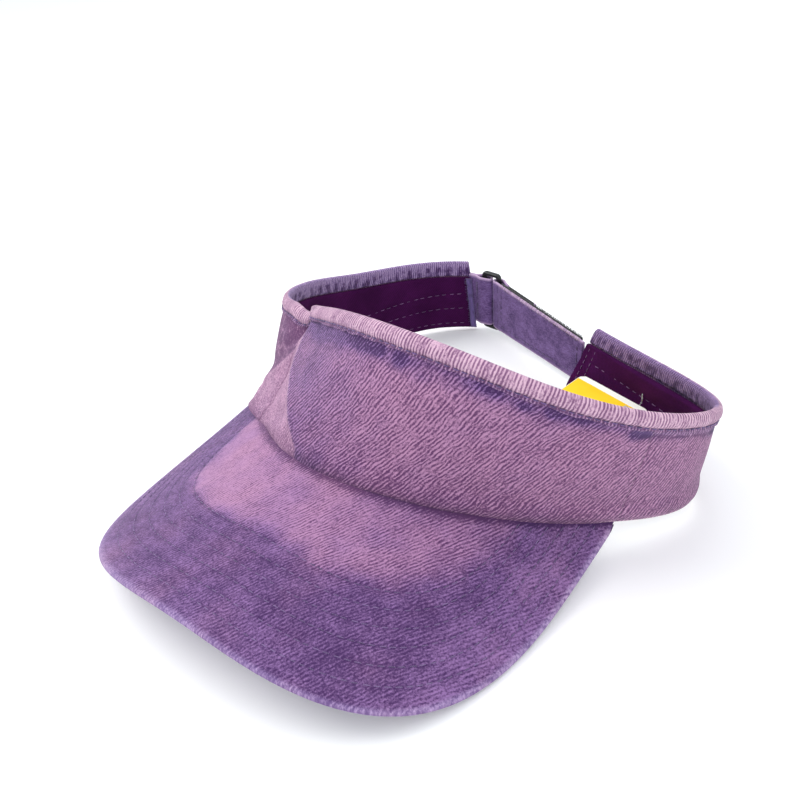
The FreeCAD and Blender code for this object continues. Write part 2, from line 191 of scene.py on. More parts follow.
def mesh_piece(name, verts, faces, uv=None, masks=None):
    """A new object from points (n, 3). uv is (n, 2) in metres of cloth, masks are numbers per point."""
    mesh = bpy.data.meshes.new(name)
    mesh.from_pydata(np.asarray(verts).reshape(-1, 3).tolist(), [], faces)
    bm = bmesh.new()
    bm.from_mesh(mesh)
    bmesh.ops.recalc_face_normals(bm, faces=bm.faces)
    bm.to_mesh(mesh)
    bm.free()
    mesh.polygons.foreach_set("use_smooth", [True] * len(mesh.polygons))
    if uv is not None:
        layer = mesh.uv_layers.new(name="weave")
        index = np.zeros(len(mesh.loops), np.int32)
        mesh.loops.foreach_get("vertex_index", index)
        layer.data.foreach_set("uv", np.asarray(uv, np.float32).reshape(-1, 2)[index].ravel())
    for key, values in (masks or {}).items():
        attribute = mesh.attributes.new(key, "FLOAT", "POINT")
        attribute.data.foreach_set("value", np.asarray(values, np.float32).ravel())
    obj = bpy.data.objects.new(name, mesh)
    SCENE.collection.objects.link(obj)
    return obj


def quads(rings, points, loop=True):
    """Faces between successive rings, with caps on both ends when loop is False."""
    i = np.arange(rings if loop else rings - 1)[:, None]
    j = np.arange(points)[None, :]
    k, n = (i + 1) % rings, (j + 1) % points
    faces = np.stack([i * points + j, i * points + n, k * points + n, k * points + j], -1).reshape(-1, 4).tolist()
    caps = [list(range(points))[::-1], list(range((rings - 1) * points, rings * points))]
    return faces if loop else faces + caps


def swept(name, rings, uv=None, masks=None):
    """Closed solid through the rings (n, m, 3), with both ends capped."""
    return mesh_piece(name, rings, quads(*rings.shape[:2], loop=False), uv, masks)


def threads(name, paths, normals, radius, sides=6):
    """Many short threads in one mesh. paths is (n, k, 3), normals (n, 3) point off the cloth, radius is in mm."""
    paths = np.asarray(paths, float)
    radius = radius * MM
    n, k = paths.shape[:2]
    along = unit(np.gradient(paths, axis=1))
    across = unit(np.cross(along, np.asarray(normals)[:, None, :]))
    lift = np.cross(across, along)
    place = np.linspace(-1, 1, k)
    girth = radius * (1 - 0.75 * np.abs(place) ** 5)[None, :, None, None]
    turn = np.arange(sides) * 2 * math.pi / sides
    ring = np.cos(turn)[:, None] * across[:, :, None, :] + np.sin(turn)[:, None] * lift[:, :, None, :]
    verts = paths[:, :, None, :] + girth * ring
    faces = [[corner + t * k * sides for corner in face] for t in range(n) for face in quads(k, sides, loop=False)]
    at = np.stack([lengths(p) for p in paths])
    u = np.broadcast_to(at[:, :, None], (n, k, sides))
    v = np.broadcast_to(turn * radius, (n, k, sides))
    shade = np.broadcast_to(scatter(n, 0, 5)[:, None, None], (n, k, sides))
    return mesh_piece(name, verts, faces, np.stack([u, v], -1), {"shade": shade})


def stitch_paths(line, normal, length, gap, rise, seed, count=6):
    """Stitches along a polyline: paths (n, count, 3) and normals. length, gap and the rise of each are in mm."""
    length, gap, rise = length * MM, gap * MM, rise * MM
    at = lengths(line)
    number = int(at[-1] // (length + gap))
    place = np.linspace(0, 1, count)
    jitter = 0.12 * length * scatter(number, 0, seed)
    start = np.arange(number) * (length + gap) + gap / 2 + jitter
    want = start[:, None] + place * length
    paths = np.stack([np.interp(want, at, line[:, k]) for k in range(3)], -1)
    up = np.stack([np.interp(want, at, normal[:, k]) for k in range(3)], -1)
    arch = rise * (1 - (2 * place - 1) ** 4) - 0.5 * rise
    return paths + up * arch[None, :, None], unit(up.mean(1))


# ---------------------------------------------------------------- materials

class Paint:
    """A node material. The methods add nodes and return output sockets."""

    def __init__(self, name):
        self.material = bpy.data.materials.new(name)
        self.material.use_nodes = True
        self.tree = self.material.node_tree
        self.shader = self.tree.nodes["Principled BSDF"]

    def node(self, kind, inputs=(), **settings):
        made = self.tree.nodes.new(kind)
        for key, value in settings.items():
            setattr(made, key, value)
        for key, value in dict(inputs).items():
            if isinstance(value, bpy.types.NodeSocket):
                self.tree.links.new(value, made.inputs[key])
            else:
                made.inputs[key].default_value = value
        return made

    def math(self, operation, a, b=0.0, c=0.0):
        return self.node("ShaderNodeMath", {0: a, 1: b, 2: c}, operation=operation).outputs[0]

    def fma(self, a, b, c):
        """a * b + c."""
        return self.math("MULTIPLY_ADD", a, b, c)

    def part(self, vector, axis):
        """One coordinate of a vector."""
        return self.node("ShaderNodeSeparateXYZ", {0: vector}).outputs[axis]

    def mix(self, factor, a, b):
        made = self.node("ShaderNodeMix", {0: factor, 6: a, 7: b}, data_type="RGBA")
        return made.outputs[2]

    def ramp(self, value, low, high):
        made = self.node("ShaderNodeMapRange", {0: value, 1: low, 2: high}, interpolation_type="SMOOTHSTEP")
        return made.outputs[0]

    def mask(self, name):
        return self.node("ShaderNodeAttribute", attribute_name=name).outputs["Fac"]

    def cloth(self):
        """Cloth coordinates in millimetres."""
        uv = self.node("ShaderNodeUVMap", uv_map="weave").outputs[0]
        return self.node("ShaderNodeVectorMath", {0: uv, "Scale": 1 / MM}, operation="SCALE").outputs[0]

    def place(self):
        """Object coordinates in millimetres."""
        at = self.node("ShaderNodeTexCoord").outputs["Object"]
        return self.node("ShaderNodeVectorMath", {0: at, "Scale": 1 / MM}, operation="SCALE").outputs[0]

    def grain(self, vector, scale, detail=2.0, rough=0.5):
        """Noise from 0 to 1 with features of about 1 / scale millimetres."""
        inputs = {"Vector": vector, "Scale": scale, "Detail": detail, "Roughness": rough}
        return self.node("ShaderNodeTexNoise", inputs).outputs["Fac"]

    def streaks(self, vector, x, y, detail=2.0, rough=0.5, z=1.0, shift=0.0):
        """Noise from 0 to 1 with features of about 1 / x by 1 / y millimetres."""
        made = self.node("ShaderNodeMapping", {0: vector, "Scale": (x, y, z), "Location": (shift, shift, shift)})
        return self.grain(made.outputs[0], 1.0, detail, rough)

    def put(self, socket, value):
        if isinstance(value, bpy.types.NodeSocket):
            self.tree.links.new(value, self.shader.inputs[socket])
        else:
            self.shader.inputs[socket].default_value = value

    def coat(self, colour, roughness, height, depth, **sockets):
        """Fills the shader and bumps it by depth millimetres. Extra names are socket names with _ for a space."""
        sockets = {"Base Color": colour, "Roughness": roughness, **sockets}
        for socket, value in sockets.items():
            self.put(socket.replace("_", " "), value)
        made = self.node("ShaderNodeBump", {"Height": height, "Distance": depth * MM, "Strength": 1.0})
        self.put("Normal", made.outputs[0])
        return self.material


BLUE = (srgb(66, 38, 86), srgb(144, 108, 162))
PINK = (srgb(98, 58, 98), srgb(184, 136, 170))
PALE = (srgb(146, 104, 138), srgb(226, 190, 208))
LILAC = (srgb(116, 90, 142), srgb(182, 158, 198))


def twill(name, period=1.4, depth=0.35, contrast=2.2, ribs=0.36, drifting=14.0):
    """Pigment-washed twill. period is the width of a rib in millimetres, ribs how strong the ribs are and drifting
    how far they wander. Masks: tone 0 blue to 1 pink, pale 0 to 1 worn or lit, as it also carries painted
    highlights, plain 0 ribbed to 1 without ribs, and shade below 0 darker and above 0 lighter, carrying painted
    shade and painted light as well as the cloth's own darker and lighter marks."""
    p = Paint(name)
    at = p.cloth()
    drift = p.streaks(at, 0.22, 0.12, 3.0, 0.6)
    across = p.part(at, 0)
    phase = p.fma(drift, drifting, p.math("MULTIPLY", across, 2 * math.pi / period))
    rib = p.fma(p.math("SINE", phase), 0.5, 0.5)
    gaps = p.ramp(p.streaks(at, 0.45, 0.30, shift=5.0), 0.34, 0.58)
    gaps = p.math("MULTIPLY", gaps, p.math("SUBTRACT", 1.0, p.mask("plain")))
    rib = p.fma(p.math("SUBTRACT", rib, 0.5), gaps, 0.5)
    broken = p.streaks(at, 1.3, 0.62, 3.0, 0.7)
    fuzz = p.streaks(at, 1.9, 1.5, 3.0, 0.75, shift=7.0)
    coarse = p.fma(broken, 0.62, p.math("MULTIPLY", fuzz, 0.86 - ribs * 0.5))
    height = p.fma(rib, ribs, coarse)
    middle = 0.74 + ribs * 0.25
    blotch = p.streaks(at, 0.05, 0.04, 4.0, 0.62, shift=3.0)
    tone = p.ramp(p.fma(blotch, 0.9, p.math("SUBTRACT", p.mask("tone"), 0.45)), 0.0, 1.0)
    low = p.mix(tone, BLUE[0], PINK[0])
    high = p.mix(tone, BLUE[1], PINK[1])
    pale = p.mask("pale")
    low = p.mix(pale, low, p.mix(tone, LILAC[0], PALE[0]))
    high = p.mix(pale, high, p.mix(tone, LILAC[1], PALE[1]))
    cloud = p.streaks(at, 0.13, 0.10, 3.0, 0.6, shift=11.0)
    shade = p.math("MULTIPLY", p.mask("shade"), 0.2 / contrast)
    level = p.math("ADD", shade, p.fma(cloud, 0.5 / contrast, height))
    level = p.ramp(level, middle - 0.11 / contrast, middle + 0.61 / contrast)
    return p.coat(p.mix(level, low, high), p.fma(height, -0.12, 0.98), height, depth,
                  Specular_IOR_Level=0.18, Sheen_Weight=0.12, Sheen_Roughness=0.5)


def lining():
    """Unwashed dark plum cotton of the sweatband."""
    p = Paint("lining_twill")
    at = p.cloth()
    across = p.part(at, 0)
    rib = p.fma(p.math("SINE", p.math("MULTIPLY", across, 2 * math.pi / 0.9)), 0.5, 0.5)
    fuzz = p.grain(at, 1.1, 3.0, 0.7)
    cloud = p.grain(at, 0.06, 3.0)
    height = p.fma(rib, 0.5, fuzz)
    level = p.ramp(p.fma(cloud, 0.7, p.math("MULTIPLY", height, 0.5)), 0.4, 1.2)
    colour = p.mix(level, srgb(48, 8, 50), srgb(78, 22, 80))
    return p.coat(colour, p.fma(fuzz, -0.1, 0.95), height, 0.1, Specular_IOR_Level=0.06)


def brushed():
    """Brushed purple cotton of the strap, mottled where it has faded."""
    p = Paint("strap_twill")
    at = p.cloth()
    mottle = p.streaks(at, 0.14, 0.18, 5.0, 0.75)
    fibre = p.streaks(at, 0.7, 1.5, 3.0, 0.7)
    speck = p.grain(at, 2.4, 2.0, 0.6)
    height = p.fma(fibre, 0.8, p.math("MULTIPLY", speck, 0.4))
    level = p.fma(mottle, 0.7, p.math("MULTIPLY", height, 0.75))
    level = p.ramp(p.fma(p.mask("shade"), 0.1, level), 0.5, 1.12)
    colour = p.mix(level, srgb(58, 36, 82), srgb(136, 106, 162))
    colour = p.mix(p.mask("pale"), colour, srgb(196, 166, 200))
    return p.coat(colour, p.fma(speck, -0.1, 0.98), height, 0.12,
                  Specular_IOR_Level=0.15, Sheen_Weight=0.1, Sheen_Roughness=0.5)


def thread(name, dark, light):
    """Twisted sewing thread. Each stitch has its own shade."""
    p = Paint(name)
    at = p.cloth()
    parts = p.node("ShaderNodeSeparateXYZ", {0: at}).outputs
    twist = p.math("SINE", p.fma(parts[0], 11.0, p.math("MULTIPLY", parts[1], 14.0)))
    level = p.fma(p.mask("shade"), 0.3, p.fma(twist, 0.22, 0.5))
    colour = p.mix(p.ramp(level, 0.0, 1.0), dark, light)
    return p.coat(colour, p.fma(twist, -0.08, 0.7), twist, 0.04, Sheen_Weight=0.3)


def tape(name, spread):
    """Black woven tape with a field of tiny hooks or loops."""
    p = Paint(name)
    at = p.cloth()
    cells = p.node("ShaderNodeTexVoronoi", {"Vector": at, "Scale": spread, "Randomness": 0.55}).outputs["Distance"]
    fuzz = p.grain(at, 2.2, 3.0, 0.7)
    height = p.fma(cells, -0.8, fuzz)
    colour = p.mix(p.ramp(height, -0.2, 0.7), srgb(9, 9, 12), srgb(48, 47, 54))
    return p.coat(colour, p.fma(fuzz, 0.3, 0.5), height, 0.35, Sheen_Weight=0.2)


def plastic(name, dark, light, roughness):
    """Moulded plastic with faint scuffs."""
    p = Paint(name)
    at = p.place()
    cloud = p.grain(at, 0.3, 3.0, 0.6)
    scuff = p.streaks(at, 2.5, 2.5, 4.0, 0.75, z=0.2)
    return p.coat(p.mix(p.ramp(scuff, 0.5, 0.85), dark, light), p.fma(cloud, 0.25, roughness - 0.12), scuff, 0.02)


def card():
    """Coated yellow card with a white margin at one end. Mask edge is 1 on the cut edges, which are white too."""
    p = Paint("tag_card")
    at = p.cloth()
    fibre = p.streaks(at, 1.2, 0.5, 4.0, 0.65)
    cloud = p.grain(at, 0.07, 2.0)
    face = p.mix(p.ramp(cloud, 0.3, 0.7), srgb(252, 200, 20), srgb(254, 210, 40))
    down = p.part(at, 1)
    margin = p.math("SUBTRACT", 1.0, p.ramp(p.fma(fibre, 0.5, down), 2.9, 3.4))
    edge = p.math("MAXIMUM", p.mask("edge"), margin)
    edge = p.ramp(p.fma(fibre, 0.3, edge), 0.55, 0.85)
    colour = p.mix(edge, face, srgb(250, 247, 238))
    return p.coat(colour, p.fma(fibre, 0.2, 0.38), fibre, 0.02, Specular_IOR_Level=0.2)


def nylon():
    """Clear moulded nylon of the tag pin."""
    p = Paint("clear_nylon")
    cloud = p.grain(p.place(), 0.8, 2.0)
    colour = p.mix(cloud, srgb(236, 238, 240), srgb(250, 250, 250))
    return p.coat(colour, p.fma(cloud, 0.15, 0.18), cloud, 0.02, Transmission_Weight=0.75, IOR=1.52)


MATERIALS = {
    "band": twill("twill_band"),
    "rim": twill("twill_rim", period=1.25, depth=0.5, contrast=2.1, ribs=0.5, drifting=7.0),
    "bill": twill("twill_bill", period=1.15, depth=0.25, contrast=1.7, ribs=0.34, drifting=12.0),
    "lining": lining(),
    "strap": brushed(),
    "raw": thread("raw_edge", srgb(40, 22, 66), srgb(112, 88, 152)),
    "overcast": thread("overcast_thread", srgb(150, 112, 160), srgb(226, 198, 222)),
    "thread": thread("thread", srgb(58, 36, 82), srgb(118, 90, 142)),
    "bill_thread": thread("bill_thread", srgb(64, 42, 92), srgb(132, 104, 156)),
    "rim_thread": thread("rim_thread", srgb(60, 40, 96), srgb(116, 84, 146)),
    "lining_thread": thread("lining_thread", srgb(70, 34, 80), srgb(132, 86, 140)),
    "hooks": tape("hook_tape", 1.5),
    "loops": tape("loop_tape", 1.0),
    "black": plastic("black_plastic", srgb(13, 13, 16), srgb(44, 44, 50), 0.38),
    "board": plastic("board_plastic", srgb(222, 222, 218), srgb(238, 238, 234), 0.6),
    "card": card(),
    "nylon": nylon(),
}


def finish_piece(obj, material, body, slot, *nodes):
    """Material, the CAD nodes it stands for and the body it rides on. slot is not used."""
    obj.data.materials.append(MATERIALS[material])
    if nodes:
        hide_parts(*nodes)
    if body:
        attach(obj, body)
    return obj


def sew(name, runs, radius, material, body, slot, node):
    """One piece from runs of stitches, each run a pair (paths, normals)."""
    paths, normals = zip(*runs)
    stitches = threads(name, np.concatenate(paths), np.concatenate(normals), radius)
    return finish_piece(stitches, material, body, slot, node)


# ---------------------------------------------------------------- camera, light and floor

CAMERA_PLACE = (0.18034, -0.23915, 0.21787)
CAMERA_RIGHT = (0.78929, 0.60988, -0.07116)
CAMERA_UP = (-0.28247, 0.46356, 0.83984)
CAMERA_BACK = (0.54519, -0.64278, 0.53815)
CAMERA_LENS = 36.79
FLOOR_HALF = 12.0


def make_stage():
    """Camera, soft lights, white floor."""
    data = bpy.data.cameras.new("camera")
    data.sensor_width = 36.0
    data.lens = CAMERA_LENS
    camera = bpy.data.objects.new("camera", data)
    axes = Matrix([CAMERA_RIGHT, CAMERA_UP, CAMERA_BACK]).transposed()
    camera.matrix_world = Matrix.Translation(CAMERA_PLACE) @ axes.to_4x4()
    SCENE.collection.objects.link(camera)
    SCENE.camera = camera

    world = bpy.data.worlds.new("studio")
    SCENE.world = world
    world.use_nodes = True
    world.node_tree.nodes["Background"].inputs[0].default_value = (0.93, 0.97, 1.0, 1.0)
    world.node_tree.nodes["Background"].inputs[1].default_value = 1.04
    lamps = [
        ("window", (-0.9, -0.35, 1.1), 1.0, 10.0, (1.0, 0.99, 0.97)),
        ("fill", (1.0, -1.1, 1.0), 1.4, 6.0, (0.97, 0.98, 1.0)),
        ("top", (0.1, 0.5, 1.7), 1.6, 3.5, (1.0, 1.0, 1.0)),
    ]
    for name, place, size, power, colour in lamps:
        light = bpy.data.lights.new(name, "AREA")
        light.shape = "DISK"
        light.size = size
        light.energy = power
        light.color = colour
        lamp = bpy.data.objects.new(name, light)
        lamp.location = place
        aim = Vector((0, 0, 0.03)) - Vector(place)
        lamp.rotation_euler = aim.to_track_quat("-Z", "Y").to_euler()
        SCENE.collection.objects.link(lamp)
    SCENE.view_settings.view_transform = "Standard"

    corners = FLOOR_HALF * np.array([(-1, -1, 0), (1, -1, 0), (1, 1, 0), (-1, 1, 0)])
    floor = mesh_piece("floor", corners, [[0, 1, 2, 3]])
    p = Paint("floor")
    p.put("Base Color", (0.97, 0.97, 0.97, 1.0))
    p.put("Roughness", 0.9)
    p.put("Specular IOR Level", 0.1)
    floor.data.materials.append(p.material)


make_stage()


# ---------------------------------------------------------------- the band's surface

STEP = 1.0 * MM
RIM_ABOVE_PANEL = 1.0 * MM
PANEL_THICK = 0.9 * MM
RIM_GAP = 0.2 * MM
RIM_THICK = 0.7 * MM
RIM_OUTER = (7.5, 7.2, 6.8, 6.4, 6.0, 5.6, 5.0, 4.3, 3.5, 2.8, 2.2, 1.7, 1.35)
RIM_INNER = (1.35, 2.2, 3.4, 4.8, 6.2, 7.2, 8.0)
SWEAT_FACE = -1.2 * MM
SWEAT_THICK = 1.2 * MM
SWEAT_BELOW_RIM = 8.6 * MM
SWEAT_LIFT = 0.5 * MM
SWEAT_BLUR = 1.8
QUILT_ROWS = (3, 12, 20.5)
CORNER_DIP = 2.6 * MM
CORNER_LIFT = 0.6 * MM
CORNER_FADE = 10 * MM


def panel_edges(node):
    """(foot line, top line) of a panel's outer face, both from the wearer's rear right end."""
    long_ones = sharp_chains(node)[:4]
    long_ones = sorted(long_ones, key=lambda c: c[:, 2].mean())
    lines = []
    for pair in (long_ones[:2], long_ones[2:]):
        outer = max(pair, key=lambda c: np.linalg.norm(c[:, :2], axis=1).mean())
        turn = (outer[:-1, 0] * outer[1:, 1] - outer[:-1, 1] * outer[1:, 0]).sum()
        lines.append(outer if turn > 0 else outer[::-1])
    count = int(round(0.5 * (lengths(lines[0])[-1] + lengths(lines[1])[-1]) / STEP)) + 1
    return resample(lines[0], count), resample(lines[1], count)


class Band:
    """The cloth surface of the band as arrays over its stations."""

    def __init__(self):
        right = panel_edges("side_panel_right")
        front = panel_edges("front_panel")
        left = panel_edges("side_panel_left")
        self.crease = len(right[0]) - 1
        self.seam = self.crease + len(front[0]) - 1
        foot = np.concatenate([right[0], front[0][1:], left[0][1:]])
        self.foot = blur(foot, 3)
        beyond = np.concatenate([right[1][-1:], front[1][1:], left[1][1:]])
        rim = np.concatenate([blur(right[1], 2), blur(beyond, 3)[1:]])
        self.rim = rim + unit(rim - self.foot) * RIM_ABOVE_PANEL
        self.count = len(self.foot)
        past = (np.arange(self.count) - self.crease) * STEP
        dip = CORNER_DIP * step(past, -18, 14) * step(past, 0.4, -1.6)
        lift = CORNER_LIFT * np.exp(-np.maximum(past, 0) / CORNER_FADE) * step(past, -0.8, 1.6)
        self.rim = self.rim + unit(self.rim - self.foot) * (lift - dip)[:, None]
        self.u = lengths((self.foot + self.rim) / 2)
        self.height = np.linalg.norm(self.rim - self.foot, axis=1)
        self.levels = np.linspace(0, 1, 5)
        grid = self.foot[:, None] + (self.rim - self.foot)[:, None] * self.levels[None, :, None]
        out = unit(np.cross(np.gradient(grid, axis=0), (self.rim - self.foot)[:, None]))
        self.outward = unit(blur(out, 1.3))
        self.along = unit(blur(np.gradient((self.foot + self.rim) / 2, axis=0), 2))

    def points(self, picked, v, off):
        """Points at stations picked (n,), heights v (n, m) and offsets off (n, m)."""
        share = v / self.height[picked][:, None]
        base = self.foot[picked][:, None] + (self.rim - self.foot)[picked][:, None] * share[..., None]
        place = np.clip(share, 0, 1) * (len(self.levels) - 1)
        low = np.minimum(place.astype(int), len(self.levels) - 2)
        part = (place - low)[..., None]
        rows = np.arange(len(picked))[:, None]
        normals = self.outward[picked]
        out = unit(normals[rows, low] * (1 - part) + normals[rows, low + 1] * part)
        total = off + folds(self.u[picked][:, None], v, self.height[picked][:, None])
        return base + out * total[..., None], out


# The sharp fold that runs down from the rim's crease: heights up the cloth, and distances past the crease. The
# slanting fold leaves it to the wearer's right: distances past the crease, and heights.
FOLD_HEIGHTS = np.array([5.0, 13.5, 19, 25.5, 30.5, 37, 46, 52, 60]) * MM
FOLD_PLACES = np.array([45.0, 35, 28, 21, 13.5, 10, 9.5, 12, 1]) * MM
SLANT_PLACES = np.array([-36.0, -17.5, -9.5, -1, 12]) * MM
SLANT_HEIGHTS = np.array([7.0, 19.5, 27, 37.5, 48.5]) * MM


def tent(s, width, tip):
    """Ridge of height 1 with a narrow rounded tip, its width and tip in millimetres."""
    return np.exp((tip - np.hypot(s / MM, tip)) / width)


def past_folds(u, v):
    """Distances past the sharp fold (towards the front) and above the slanting one."""
    past = u - band.u[band.crease]
    return past, past - np.interp(v, FOLD_HEIGHTS, FOLD_PLACES), v - np.interp(past, SLANT_PLACES, SLANT_HEIGHTS)


def folds(u, v, height):
    """How far the whole band stands out of its smooth surface, in metres, from creases and soft dents."""
    share = v / height
    soft = 0.5 * MM * noise(u / 0.030, v / 0.024, 11) + 0.22 * MM * noise(u / 0.013, v / 0.015, 12)
    total = soft * smooth(share * 2.5) * smooth((1 - share) * 4)
    past, fold, slant = past_folds(u, v)
    reach = step(v, 1, 14) * step(height - v, -7, 9)
    sharp = np.where(fold > 0, tent(fold, 10, 0.5), tent(fold, 6.5, 0.5))
    total = total + 2.2 * MM * reach * sharp
    inside = step(fold, 0, -4) * step(past, -60, 20)
    total = total + inside * 1.3 * MM * tent(slant, 6, 0.8) * reach
    total = total - inside * 1.1 * MM * hill(slant, 10, 7) * reach
    wrinkle = 0.5 * MM * noise(u / 0.006, v / 0.005, 13) * inside * step(slant, 0, -6) * step(v, 0, 6)
    return total + wrinkle + 7.6 * MM * hill(past, -19, 18) * hill(v, -6, 9.5)


def over_bill(u):
    """1 where the band's foot stands on the bill."""
    start = band.u[band.crease] - 26 * MM
    end = band.u[band.seam] - 5 * MM
    return step(u - start, 0, 5) * step(u - end, 0, -5)


band = Band()


def rib_uv(u, v, degrees, warp=0.0, seed=0):
    """Cloth coordinates with the ribs along the second one. degrees is the ribs' angle up from the band's run."""
    a = math.radians(degrees)
    bend = warp * noise(u / 0.034, v / 0.03, seed + 40)
    return np.stack([u * math.sin(a) - v * math.cos(a) + bend, u * math.cos(a) + v * math.sin(a)], -1)


def panel_masks(u, v, below_rim, on_bill):
    """Colour masks of the outer panels, with painted light and shade on the folds and painted shade at the foot."""
    past, fold, slant = past_folds(u, v)
    from_seam = u - band.u[band.seam]
    patch = noise(u / 0.011, v / 0.007, 61) + 0.6 * noise(u / 0.005, v / 0.004, 62)
    crackle = noise(u / 0.005, v / 0.004, 63) + 0.5 * noise(u / 0.0022, v / 0.002, 64)
    near = step(past, -44, 16)
    vein = (1 - smooth(np.abs(crackle) / 0.3)) * near
    front = step(past, 4, 10)
    under_rim = hill(below_rim, 9.5 + 1.5 * patch, 4.5) * front
    dark = smooth(2.2 * patch - 0.4) * hill(below_rim, 8, 5) * front
    beside = step(from_seam, -12, 8)
    side = step(fold, 0, -1.5)
    lit_bulge = side * step(slant, 0, -4)
    upper = side * step(slant, 0, 5)

    tone = 0.42 + 0.45 * step(past, 30, 60) + 0.15 * step(from_seam, -40, 40)
    tone = tone - 0.1 * hill(v, 2, 12) - 0.55 * under_rim
    tone = tone * (1 - side) + side * (0.95 - 0.12 * upper) - 0.6 * dark

    # Paler along the ridges of the sharp and the slanting fold: partly wear, partly a painted highlight on the
    # ridges. The bulge under the slanting fold is painted paler, as painted light on its lit side.
    pale = 0.5 * hill(fold, -0.3, 0.9) * step(v, 8, 8) + 0.28 * lit_bulge
    pale += side * 0.5 * hill(slant, -0.5, 1.2) + 0.35 * upper * vein
    pale += 0.75 * hill(v, 0.3, 0.9) * (1 - on_bill) + 0.35 * beside * hill(below_rim, 9.2, 1.0)

    # Lighter across the middle of the front, and darker low on the front as painted shade near its foot.
    shade = 0.3 * hill(past, 95, 45) - 0.2 - 0.3 * hill(v, 8, 10) * (1 - side)
    # Painted shade in the recess where the band's foot stands on the bill.
    shade -= (0.7 * hill(v, 0, 8) + 1.2 * hill(v, -0.5, 1.8)) * on_bill
    shade -= 0.5 * under_rim + 0.25 * hill(from_seam, 0, 0.6) + 1.5 * dark
    shade -= 1.6 * beside * hill(below_rim, 11 + 0.5 * patch, 0.6)
    # Painted light on the bulge. Above the slanting fold there is painted shade where the cloth turns away, and the
    # lighter veins and patches there are the cloth's own colour.
    shade += 0.35 * lit_bulge * (1 - vein) + upper * (0.35 * patch + vein - 1.6 * (0.35 + 0.65 * near))
    return {"tone": tone, "pale": np.clip(pale, 0, 1), "plain": 0.75 * side, "shade": shade}


def panel(name, first, last, degrees):
    """One outer twill panel: hemmed foot, gently rolled ends at its seams."""
    picked = np.arange(first, last + 1)
    u = band.u[picked][:, None]
    height = band.height[picked][:, None]
    rows = 56
    half = PANEL_THICK / 2
    up = np.linspace(0, 1, rows)
    arc = np.linspace(-90, 90, 7)[1:-1] * math.pi / 180
    outer = half + (height - RIM_ABOVE_PANEL - half) * up
    inner = outer[:, ::-4]
    hem = np.broadcast_to(half - half * np.cos(arc), (len(picked), len(arc)))
    v = np.concatenate([outer, inner, hem], 1)
    off = np.concatenate([np.zeros(rows), np.full(inner.shape[1], -PANEL_THICK), half * np.sin(arc) - half])
    from_end = np.minimum(u - u[0], u[-1] - u)
    off = off - 0.04 * MM * (1 - step(from_end, 0, 0.8)) + hill(v, 5, 5) * 0.9 * MM * step(v, 0.3, 3)
    full_u = like(u, v)
    on_bill = over_bill(full_u)
    masks = panel_masks(full_u, v, height - v, on_bill)
    v = v - 0.9 * MM * on_bill * (1 - step(v, 0, 5))
    uv = rib_uv(full_u, v, degrees, 1.5 * MM, first)
    piece = swept(name, band.points(picked, v, off)[0], uv, masks)
    area = area_under(band.height[picked], band.u[picked])
    size = (float(height.max()), float(u[-1, 0] - u[0, 0]))
    return piece, size, area


def make_panels():
    """The three outer panels."""
    parts = [
        ("side_panel_right_cloth", "side_panel_right", 0, band.crease, 112),
        ("front_panel_cloth", "front_panel", band.crease, band.seam, 61),
        ("side_panel_left_cloth", "side_panel_left", band.seam, band.count - 1, 68),
    ]
    for name, node, first, last, degrees in parts:
        piece, size, area = panel(name, first, last, degrees)
        finish_piece(piece, "band", "visor", "twill_band", node)


def rim_pucker(u):
    """Uneven gathers along the binding, from -1 to 1."""
    a = noise(u / (3.1 * MM), 0.3, 21)
    b = noise(u / (1.7 * MM), 0.6, 22)
    return 0.7 * a + 0.45 * b


